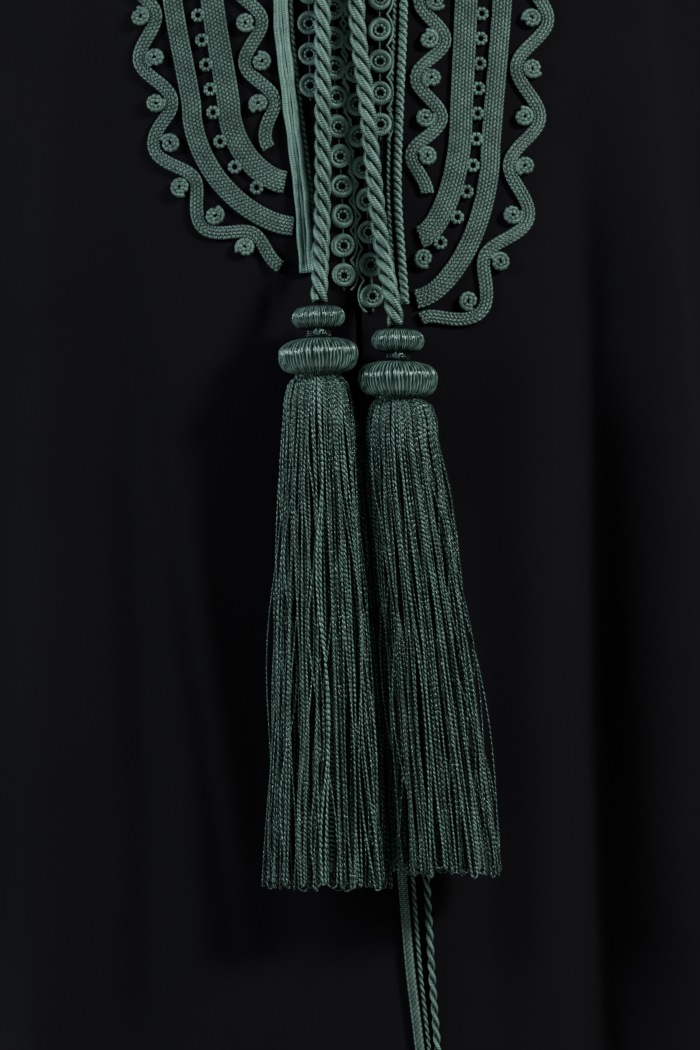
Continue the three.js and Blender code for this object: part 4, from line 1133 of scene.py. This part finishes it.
def bend_centres(lobe, wave):
    """Places of the rosettes in a wave's bends, on the inside of each."""
    at, middle = middle_line(lobe, wave)
    total = at[-1]
    bends = int(np.floor(2 * (total / wave["length"] + wave["phase"]) - 0.5))
    k = np.arange(bends + 1)
    s = (0.25 + 0.5 * k - wave["phase"]) * wave["length"]
    kept = (s >= BEND_ROSETTE) & (s <= total - wave["stop"] - BEND_ROSETTE)
    inwards = wave["swing"] - BEND_ROSETTE - WAVE_BRAID["width"] / 2 + BEND_OVERLAP
    away = lobe[0] * np.where(k % 2, -1.0, 1.0) * inwards
    spot = picked(s, at, middle)
    way = picked(s, at, tangents(middle))
    return np.column_stack([spot[:, 0] - away * way[:, 1], spot[:, 1] + away * way[:, 0]])[kept]


def flat_braid_shell(side, which):
    """A flat plaited braid down a lobe. The inner one carries a row of small loops on its outer edge."""
    lobe = LOBES[(side, which)]
    kind = FLAT_BRAIDS[which]
    line = lobe_line(lobe, kind["top_z"])
    parts = [ribbon(line, kind["width"], kind["thick"], kind["ribs"], STITCH)]
    if which == "inner":
        at, fine = resample(line, RIBBON_STEP)
        edge = offset(fine, lobe[0] * (kind["width"] / 2 + EDGE_LOOPS["off"]))
        spots = np.arange(EDGE_LOOPS["first"], at[-1] - EDGE_LOOPS["short"], EDGE_LOOPS["pitch"])
        parts.append(rings(picked(spots, at, edge), **EDGE_LOOP))
    return joined(parts)


def wave_shell(side, which):
    """A waving braid beside a lobe, with a small flat coil of cord in each of its bends."""
    lobe = LOBES[(side, which)]
    wave = WAVES[(side, which)]
    band = ribbon(wave_line(lobe, wave), pitch=STITCH, **WAVE_BRAID)
    more = FOOT_COILS.get((side, which), np.zeros((0, 2)))
    centres = np.concatenate([bend_centres(lobe, wave), more])
    return joined([band, coils(centres, **BEND_COIL)])


def down_line(table, step):
    """Points in the front's plane down one of the tables beside the slit, from its foot up."""
    z = np.linspace(table[0, 0], table[-1, 0], int((table[-1, 0] - table[0, 0]) / step) + 1)
    return np.column_stack([along(table, 1, z), z])


def piping_shell(side):
    """The left piping is three smooth rolls side by side, the middle one thinner, and the right one a
    tightly twisted cord. A thin chain of stitches runs along the slit's side of each."""
    kind = PIPING_KINDS[side]
    line = down_line(PIPING[side], kind["step"])
    parts = []
    if side == "left":
        for away, radius in PIPING_ROLLS:
            roll = offset(line, away + 0.16 * np.sin(line[:, 1] * 0.33 + 4 * away))
            sway = radius * (1 + 0.07 * np.sin(line[:, 1] * 0.21 + away))
            path = on_front(roll[:, 0], roll[:, 1], kind["lift"])
            parts.append(tubes(path[None], sway[None], 12, painted_light=kind["bright"]))
    else:
        cord = twisted(on_front(line[:, 0], line[:, 1], kind["lift"]), **PIPING_TWIST)
        cord["painted_light"] = kind["bright"] * cord["painted_light"]
        parts.append(cord)
    parts.append(ribbon(line + np.array([CHAIN_OFF[side], 0.0]), **CHAIN))
    return joined(parts)


def rosette_centres(table, pitch):
    """Places of the rosettes of a row, evenly spaced from its top to its foot."""
    low, high = table[0, 0], table[-1, 0]
    count = int(round((high - low) / pitch))
    z = high + (low - high) * (np.arange(count) + 0.5) / count
    return np.column_stack([along(table, 1, z), z])


def rosette_row_shell(side, which):
    """A row of rosettes: each one is a thick ring of gimp round a smaller beaded ring, and the row is held
    by a thin cord behind it. Beside every row but the left inner one, a fine cord runs in scallops."""
    table = ROSETTE_ROWS[(side, which)]
    centres = rosette_centres(table, ROSETTE_PITCH[(side, which)])
    line = down_line(table, ROW_STEP)
    behind = on_front(line[:, 0], line[:, 1], HOLDING_CORD["lift"])
    parts = [
        gimp_rings(centres, **GIMP_RING),
        rings(centres + BEADED_SHIFT, **BEADED_RING),
        # The cord behind the row is painted darker as shade.
        tubes(behind[None], HOLDING_CORD["radius"], 6, painted_light=HOLDING_CORD["painted_light"]),
    ]
    if which == "edge" or side == "right":
        towards = -1.0 if (side, which) == ("right", "edge") else 1.0
        beat = (line[:, 1] - table[-1, 0]) / ((table[0, 0] - table[-1, 0]) / len(centres))
        away = SCALLOP["off"] + SCALLOP["swing"] * np.abs(np.sin(np.pi * beat)) ** 0.7
        beside = on_front(line[:, 0] + towards * away, line[:, 1], SCALLOP["lift"])
        parts.append(tubes(beside[None], SCALLOP["radius"], 7))
    return joined(parts)


def rope_spine(side):
    """Points of a rope's middle line, from its tassel's head up: it lies over the rosettes, and rises
    from the cloth to the head near its foot."""
    line = down_line(ROPES[side], ROPE_STEP)
    lift = mix(TASSEL_LIFT, ROPE_REST, smooth((line[:, 1] - ROPES[side][0, 0]) / ROPE_RISE))
    return on_front(line[:, 0], line[:, 1], lift)


# ---------------------------------------------------------------- tassels


def tassel_depth(kind):
    """How far a tassel's middle line lies in front of the origin at its top."""
    return float(front_depth(kind["x"], kind["top_z"])) + TASSEL_LIFT


def head_shell(kind):
    """A tassel's head: a profile turned about an upright line, covered by threads that run up and down
    over its two beads as fine ridges, uneven in their spacing. Its levels slope by the tilt. Its UV is
    turned a quarter, so that the fibres follow the threads."""
    at, profile = resample(HEAD, 0.8)
    turn = circle(HEAD_SIDES)
    radius, height = profile[:, 0, None], profile[:, 1, None]
    wander = 0.9 * np.sin(3 * turn + 0.3 * height) + 0.7 * np.sin(7 * turn + 1.3)
    wander = wander + 0.5 * np.sin(0.9 * height + 11 * turn)
    ridge = np.abs(np.sin(HEAD_THREADS / 2 * turn + wander)) ** 0.7
    swollen = smooth((radius - 6.0) / 4.0)
    r = radius + HEAD_THREAD_RISE * swollen * (ridge - 0.6)
    x = r * np.cos(turn)
    y = r * np.sin(turn)
    z = height + np.sin(np.radians(kind["tilt"])) * x
    points = np.stack([kind["x"] + x, -tassel_depth(kind) + y, kind["top_z"] + z - HEAD_DROP], -1)
    # Painted shade between the thread ridges, in the narrow neck between the beads and at the very foot of
    # the head.
    level = (0.05 + 0.95 * ridge ** 1.6) * (0.12 + 0.88 * swollen) * smooth((height + 33.5) / 4)
    head = capped(points, np.arange(HEAD_SIDES + 1) / HEAD_SIDES * 0.145, at * 0.05, level)
    head["places"] = [group[..., ::-1] for group in head["places"]]
    return head


def band_shells(kind):
    """Turns of thread round the neck and the foot of the head, and the small knot in front of the neck."""
    depth = tassel_depth(kind)
    turn = circle(48)
    parts = []
    for radius, cord, heights in HEAD_BANDS:
        paths = np.stack([np.stack([
            kind["x"] + radius * np.cos(turn), -depth + radius * np.sin(turn),
            kind["top_z"] + h + 0.25 * np.sin(turn)], -1) for h in heights])
        parts.append(level_rings(paths, cord, 8))
    for tilt, size in NECK_LOOPS:
        loop = np.stack([
            kind["x"] + NECK_KNOT["x"] + size * np.cos(turn),
            -depth - NECK_KNOT["forwards"] + 0.7 * np.sin(2 * turn + tilt),
            kind["top_z"] - NECK_KNOT["drop"] + size * np.sin(turn + tilt) * 0.9], -1)
        parts.append(tubes(loop[None], NECK_KNOT["cord"], 7, closed=True))
    return parts


def upright_rings(path, cord, sides):
    """Points round a path that runs about an upright line: each ring stands on the outward and the upright
    axis."""
    centre = path.mean(axis=-2, keepdims=True)
    out = unit((path - centre) * np.array([1.0, 1.0, 0.0]))
    turn = circle(sides)
    ring = out[..., None, :] * np.cos(turn)[:, None] + UPRIGHT * np.sin(turn)[:, None]
    return path[..., None, :] + cord * ring


def level_rings(paths, cord, sides):
    """Tubes round closed level paths, made of upright rings of points."""
    count, length = paths.shape[:2]
    points = upright_rings(paths, cord, sides)
    step = np.linalg.norm(np.diff(paths, axis=1), axis=2).mean() * MM
    u = np.arange(sides + 1) / sides
    faces, places = grid_faces(length, sides, True, True, u, np.arange(length + 1) * step)
    starts = (np.arange(count) * length * sides)[:, None, None]
    all_faces = [(faces[None] + starts).reshape(-1, 4)]
    all_places = [np.broadcast_to(places, (count, *places.shape)).reshape(-1, 4, 2)]
    # The turns of thread in the neck and at the foot of the head are painted darker as shade.
    return outward(shell(points, all_faces, all_places, 0.3))


def skirt_place(kind, t, share, turn, foot):
    """A place in the skirt at a share t of its length: it opens from the root ring to an oval between
    the skirt's two edges, at a share of the oval's size and a turn round it."""
    z = mix(kind["top_z"] - ROOT_DROP, foot, t)
    left = along(kind["edges"], 1, z) + SKIRT_MARGIN
    right = along(kind["edges"], 2, z) - SKIRT_MARGIN
    opened = np.sin(np.pi / 2 * np.clip(t / SKIRT_OPEN["share"], 0, 1)) ** SKIRT_OPEN["power"]
    half_x = mix(ROOT_RADIUS, (right - left) / 2, opened)
    half_y = mix(ROOT_RADIUS, mix(*SKIRT_DEPTH, t), opened)
    x = mix(kind["x"], (left + right) / 2, opened) + share * half_x * np.cos(turn)
    middle = np.maximum(tassel_depth(kind), front_depth(np.full_like(z, kind["x"]), z) + TASSEL_LIFT)
    return np.stack([x, -middle - share * half_y * np.sin(turn), z], -1)


def skirt_shell(kind, loops, thread, seed):
    """The skirt: loops of thread, each running down, round and up again a little further on, in three
    layers that sway a little, the inner ones with painted shade, round a core of the same form painted dark
    as shade."""
    rng = np.random.default_rng(seed)
    parts = np.array([part for part, low, high in SKIRT_LAYERS])
    counts = np.maximum(1, np.round(parts * loops)).astype(int)
    share = [rng.uniform(low, high, n) for (part, low, high), n in zip(SKIRT_LAYERS, counts)]
    share = np.concatenate(share)
    turn = [2 * np.pi * (np.arange(n) + rng.uniform(-0.32, 0.32, n)) / n for n in counts]
    turn = np.concatenate(turn)
    gap = np.concatenate([np.full(n, np.pi / n) for n in counts])
    total = counts.sum()
    foot = kind["foot_z"] + 1.6 + rng.uniform(0, 4.6, total)
    t = np.linspace(0, 1, 21) ** 1.25
    lean = rng.normal(0, 2.2, (total, 1))
    legs = []
    for way in (0.0, 1.0):
        own_turn = turn + way * gap
        place = skirt_place(
            kind, t[None, :] + 0 * turn[:, None], share[:, None], own_turn[:, None], foot[:, None])
        sway = rng.normal(0, 1.5, (total, 1)) * np.sin(np.pi * t * rng.uniform(1.5, 5.0, (total, 1)))
        drift = (lean + rng.normal(0, 0.7, (total, 1))) * t ** 1.2
        place[..., 0] += (sway + drift) * smooth(t * 4)
        place[..., 1] += rng.normal(0, 0.4, (total, 1)) * smooth(t * 4)
        legs.append(place)
    down, back = legs
    middle = (down[:, -1] + back[:, -1]) / 2
    half = (down[:, -1] - back[:, -1]) / 2
    round_turn = np.radians(np.array([30, 70, 110, 150]))[None, :, None]
    drop = np.array([0.0, 0.0, -1.4])
    bend = middle[:, None] + half[:, None] * np.cos(round_turn) + drop * np.sin(round_turn)
    paths = np.concatenate([down, bend, back[:, ::-1]], axis=1)
    # Painted shade deeper in the skirt, times a random tone for each loop.
    layer_shade_and_tone = (0.06 + 0.94 * share ** 6) * rng.uniform(0.4, 1.0, total)
    threads = tubes(paths, thread / 2, 4, painted_light=layer_shade_and_tone[:, None])
    return joined([threads, shade_core_shell(kind)])


def shade_core_shell(kind):
    """The core of a skirt, painted dark as the shade inside it: the skirt's own form at a share of its
    size, faintly ridged, and closed at the root and just above the foot."""
    sides = CORE["sides"]
    turn = circle(sides)
    t = np.linspace(0.0, 0.985, CORE["rows"])
    foot = np.full((CORE["rows"], 1), kind["foot_z"] + CORE["short"])
    size = CORE["size"] + CORE["ridge"] * np.abs(np.sin(18 * turn))[None]
    points = skirt_place(kind, t[:, None] + 0 * turn[None], size, turn[None], foot)
    # Painted nearly wholly as shade.
    return capped(points, np.arange(sides + 1) / sides * 9, t * 0.25, 0.03)


# ---------------------------------------------------------------- tie cords


def tie_path(name):
    """Points of a tie cord's middle line, smooth through the places that it passes."""
    kind = TIES[name]
    spots = on_front(np.array(kind["x"]), np.array(TIE_Z, dtype=float), TIE_LIFT + kind["thick"] / 2)
    return resample(spots, 1.0)


def tie_shell(name):
    """A tie cord: a flat plait, or a cord twisted of two strands."""
    kind = TIES[name]
    path = tie_path(name)[1]
    if "twist" in kind:
        return twisted(path, **kind["twist"])
    at, fine = resample(path, 0.6)
    cols = 18
    turn = circle(cols)
    ahead = unit(np.gradient(fine, axis=0))
    side = unit(np.cross(AWAY, ahead))
    out = np.cross(ahead, side)
    across = np.cos(turn)[None, :]
    height = plait(np.clip(across, -0.999, 0.999), at[:, None], **TIE_PLAIT)
    size = 1 - 0.12 * (1 - height)
    half = np.array([kind["width"] / 2, kind["thick"] / 2])
    points = fine[:, None, :] + side[:, None, :] * (half[0] * size * across)[..., None]
    points = points + out[:, None, :] * (half[1] * size * np.sin(turn)[None, :])[..., None]
    # Painted light by the plait's height: painted shade in the gaps between stitches.
    return capped(points, np.arange(cols + 1) / cols, at * MM, height)


def knot_shell():
    """The knot that holds the ties together: a cord wound three times round, and three short tails that
    fill it and hang below."""
    depth = float(front_depth(KNOT["x"], KNOT["top_z"])) + TIE_LIFT
    middle = -depth - KNOT["flat"] * KNOT["radius"]
    s = np.linspace(0, 1, 150)
    turn = 2 * np.pi * KNOT_WINDINGS * s + 0.6
    radius = KNOT["radius"] - 2.2
    wind = np.stack([
        KNOT["x"] + radius * np.cos(turn), middle - KNOT["flat"] * radius * np.sin(turn),
        KNOT["top_z"] - 2.3 - 9.2 * s + 0.9 * np.sin(turn)], -1)
    parts = [wound_tube(wind, KNOT_CORD, 10)]
    s = np.linspace(0, 1, 30)
    for k, x in enumerate(KNOT_TAILS):
        length = KNOT["height"] - 2.2 - 0.6 * k
        tail = np.stack([
            KNOT["x"] + x + 0.5 * s, middle + 0.6 * (k - 1) + 0 * s, KNOT["top_z"] - 1.0 - length * s], -1)
        parts.append(tubes(tail[None], 1.7 - 0.25 * (s[None] > 0.93), 10))
    return joined(parts)


def wound_tube(path, cord, sides):
    """A tube along a coil about an upright line, made of upright rings of points and closed by caps."""
    points = upright_rings(path, cord, sides)
    return capped(points, np.arange(sides + 1) / sides, run(path) * MM, 1.0)


# ---------------------------------------------------------------- settings, operators and panel


class AbayaSettings(bpy.types.PropertyGroup):
    """The sizes and colours that a user would change."""

    cloth_colour: bpy.props.FloatVectorProperty(
        name="Cloth colour", description="Colour of the black crepe", subtype="COLOR", size=3,
        min=0.0, max=1.0, default=(0.0052, 0.0052, 0.0068))
    trim_light: bpy.props.FloatVectorProperty(
        name="Trim colour", description="Colour of the raised threads of the trim", subtype="COLOR", size=3,
        min=0.0, max=1.0, default=(0.116, 0.220, 0.184))
    # Painted shade: the colour laid in the trim's grooves, between its threads and on its underside.
    trim_painted_shade: bpy.props.FloatVectorProperty(
        name="Trim groove colour", description="Colour between the threads of the trim", subtype="COLOR",
        size=3, min=0.0, max=1.0, default=(0.0015, 0.006, 0.0046))
    cloth_thickness: bpy.props.FloatProperty(
        name="Cloth thickness", description="Thickness of the cloth's wall", subtype="DISTANCE",
        unit="LENGTH", min=0.0005, max=0.003, default=0.001)
    tassel_loops: bpy.props.IntProperty(
        name="Tassel loops", description="Loops of thread in each tassel's skirt",
        min=20, max=200, default=144)
    thread_width: bpy.props.FloatProperty(
        name="Tassel thread", description="Diameter of a tassel's thread", subtype="DISTANCE",
        unit="LENGTH", min=0.0004, max=0.002, default=0.0009)
    key_power: bpy.props.FloatProperty(
        name="Key light", description="Power of the main lamp", unit="POWER", min=0.0, default=66.0)


class ABAYA_OT_stage(bpy.types.Operator):
    """Adds the camera, the lamps and the pale floor"""

    bl_idname = "abaya.add_stage"
    bl_label = "Camera, lamps and floor"

    def execute(self, context):
        scene = context.scene
        camera = bpy.data.cameras.new("camera")
        camera.lens = CAMERA_LENS
        camera.sensor_width = 36.0
        camera.clip_start = 0.05
        holder = bpy.data.objects.new("camera", camera)
        holder.location = CAMERA_PLACE
        holder.rotation_euler = (np.pi / 2, 0.0, 0.0)
        scene.collection.objects.link(holder)
        scene.camera = holder
        power = scene.abaya.key_power
        lamps = [
            ("key lamp", (1.65, -1.25, 0.75), 0.5, power, (1.0, 0.985, 0.96)),
            ("left lamp", (-2.1, -0.95, 0.35), 0.8, power * 0.72, (0.95, 0.97, 1.0)),
            ("back lamp", (0.9, 2.2, 0.9), 1.6, power * 1.3, (1.0, 0.99, 0.97)),
            ("side lamp", (-2.3, 0.7, 0.5), 1.5, power * 0.8, (0.96, 0.98, 1.0)),
        ]
        for name, place, size, watts, colour in lamps:
            light = bpy.data.lights.new(name, "AREA")
            light.shape = "DISK"
            light.size = size
            light.energy = watts
            light.color = colour
            lamp = bpy.data.objects.new(name, light)
            lamp.location = place
            aim = Vector(LAMP_AIM) - Vector(place)
            lamp.rotation_euler = aim.to_track_quat("-Z", "Y").to_euler()
            scene.collection.objects.link(lamp)
        world = bpy.data.worlds.new("studio")
        world.use_nodes = True
        background = world.node_tree.nodes["Background"]
        background.inputs["Color"].default_value = (0.80, 0.81, 0.83, 1.0)
        background.inputs["Strength"].default_value = 0.1
        scene.world = world
        floor_z = HEM_Z * MM - FLOOR_GAP
        mesh = bpy.data.meshes.new("floor")
        signs = [(-1, -1), (1, -1), (1, 1), (-1, 1)]
        corners = [(x * FLOOR_HALF, y * FLOOR_HALF, floor_z) for x, y in signs]
        mesh.from_pydata(corners, [], [(0, 1, 2, 3)])
        mesh.materials.append(floor_material())
        floor = bpy.data.objects.new("floor", mesh)
        scene.collection.objects.link(floor)
        return {"FINISHED"}


class ABAYA_OT_ties(bpy.types.Operator):
    """Adds the three tie cords that hang from the foot of the slit, and their knot"""

    bl_idname = "abaya.add_ties"
    bl_label = "Tie cords"

    def execute(self, context):
        knot = mesh_piece("knot_of_ties", knot_shell(), look("tie"), ["tie_knot"])
        for name, kind in TIES.items():
            cord = mesh_piece(f"{name}_cord", tie_shell(name), look("tie"), [name])
            at, path = tie_path(name)
        return {"FINISHED"}


class ABAYA_OT_front(bpy.types.Operator):
    """Adds the front of the garment, with its slit"""

    bl_idname = "abaya.add_front"
    bl_label = "Front"

    def execute(self, context):
        piece = cloth_piece("front_cloth", panel_shell("front"), "front")
        return {"FINISHED"}


class ABAYA_OT_back(bpy.types.Operator):
    """Adds the back of the garment"""

    bl_idname = "abaya.add_back"
    bl_label = "Back"

    def execute(self, context):
        piece = cloth_piece("back_cloth", panel_shell("back"), "back")
        return {"FINISHED"}


class ABAYA_OT_sleeves(bpy.types.Operator):
    """Adds the two sleeves"""

    bl_idname = "abaya.add_sleeves"
    bl_label = "Sleeves"

    def execute(self, context):
        for side, name in ((-1, "left"), (1, "right")):
            piece = cloth_piece(f"sleeve_{name}_cloth", sleeve_shell(side), f"sleeve_{name}")
        return {"FINISHED"}


class ABAYA_OT_braids(bpy.types.Operator):
    """Adds the flat braids of the lobes"""

    bl_idname = "abaya.add_braids"
    bl_label = "Flat braids"

    def execute(self, context):
        for side, which in LOBES:
            name = f"braid_{which}_{side}"
            mesh_piece(f"{name}_plait", flat_braid_shell(side, which), look("braid"), [name])
        return {"FINISHED"}


class ABAYA_OT_waves(bpy.types.Operator):
    """Adds the waving braids beside the lobes, with their rosettes"""

    bl_idname = "abaya.add_waves"
    bl_label = "Waving braids"

    def execute(self, context):
        for side, which in LOBES:
            name = f"wave_{which}_{side}"
            mesh_piece(f"{name}_plait", wave_shell(side, which), look("braid"), [name])
        return {"FINISHED"}


class ABAYA_OT_piping(bpy.types.Operator):
    """Adds the piping of each side and the chain stitch beside it"""

    bl_idname = "abaya.add_piping"
    bl_label = "Piping"

    def execute(self, context):
        for side in PIPING:
            mesh_piece(f"piping_{side}_cord", piping_shell(side), look("rope"), [f"piping_{side}"])
        return {"FINISHED"}


class ABAYA_OT_rosettes(bpy.types.Operator):
    """Adds the rows of rosettes beside the slit"""

    bl_idname = "abaya.add_rosettes"
    bl_label = "Rosette rows"

    def execute(self, context):
        for side, which in ROSETTE_ROWS:
            name = f"rosettes_{which}_{side}"
            mesh_piece(f"{name}_rings", rosette_row_shell(side, which), look("rosette"), [name])
        return {"FINISHED"}


class ABAYA_OT_ropes(bpy.types.Operator):
    """Adds the two twisted ropes"""

    bl_idname = "abaya.add_ropes"
    bl_label = "Ropes"

    def execute(self, context):
        for k, side in enumerate(ROPES):
            rope = twisted(rope_spine(side), **ROPE_TWIST, start=ROPE_START * k)
            mesh_piece(f"rope_{side}_strands", rope, look("rope"), [f"rope_{side}"])
        return {"FINISHED"}


class ABAYA_OT_tassels(bpy.types.Operator):
    """Adds the two tassels: a head of two thread-covered beads and a skirt of looped threads"""

    bl_idname = "abaya.add_tassels"
    bl_label = "Tassels"

    def execute(self, context):
        settings = context.scene.abaya
        for seed, (side, kind) in enumerate(TASSELS.items()):
            skirt = skirt_shell(kind, settings.tassel_loops, settings.thread_width / MM, 11 + seed)
            one = joined([head_shell(kind), *band_shells(kind), skirt])
            mesh_piece(f"tassel_{side}_threads", one, look("tassel"), [f"tassel_{side}"])
        return {"FINISHED"}


class ABAYA_PT_pieces(bpy.types.Panel):
    """The garment's settings and the buttons that add its pieces"""

    bl_idname = "ABAYA_PT_pieces"
    bl_label = "Abaya"
    bl_space_type = "VIEW_3D"
    bl_region_type = "UI"
    bl_category = "Abaya"

    def draw(self, context):
        for name in AbayaSettings.__annotations__:
            self.layout.prop(context.scene.abaya, name)
        for operator in OPERATORS:
            self.layout.operator(operator.bl_idname)


OPERATORS = (
    ABAYA_OT_stage,
    ABAYA_OT_ties,
    ABAYA_OT_front,
    ABAYA_OT_back,
    ABAYA_OT_sleeves,
    ABAYA_OT_braids,
    ABAYA_OT_waves,
    ABAYA_OT_piping,
    ABAYA_OT_rosettes,
    ABAYA_OT_ropes,
    ABAYA_OT_tassels,
)


def register():
    """Registers the settings, the operators and the panel."""
    bpy.utils.register_class(AbayaSettings)
    for operator in OPERATORS:
        bpy.utils.register_class(operator)
    bpy.utils.register_class(ABAYA_PT_pieces)
    bpy.types.Scene.abaya = bpy.props.PointerProperty(type=AbayaSettings)


def unregister():
    """Takes back what register() added."""
    del bpy.types.Scene.abaya
    bpy.utils.unregister_class(ABAYA_PT_pieces)
    for operator in reversed(OPERATORS):
        bpy.utils.unregister_class(operator)
    bpy.utils.unregister_class(AbayaSettings)


def main():
    """Registers the add-on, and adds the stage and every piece."""
    register()
    bpy.ops.abaya.add_stage()
    bpy.ops.abaya.add_ties()
    bpy.ops.abaya.add_front()
    bpy.ops.abaya.add_back()
    bpy.ops.abaya.add_sleeves()
    bpy.ops.abaya.add_braids()
    bpy.ops.abaya.add_waves()
    bpy.ops.abaya.add_piping()
    bpy.ops.abaya.add_rosettes()
    bpy.ops.abaya.add_ropes()
    bpy.ops.abaya.add_tassels()


if __name__ == "__main__":
    main()
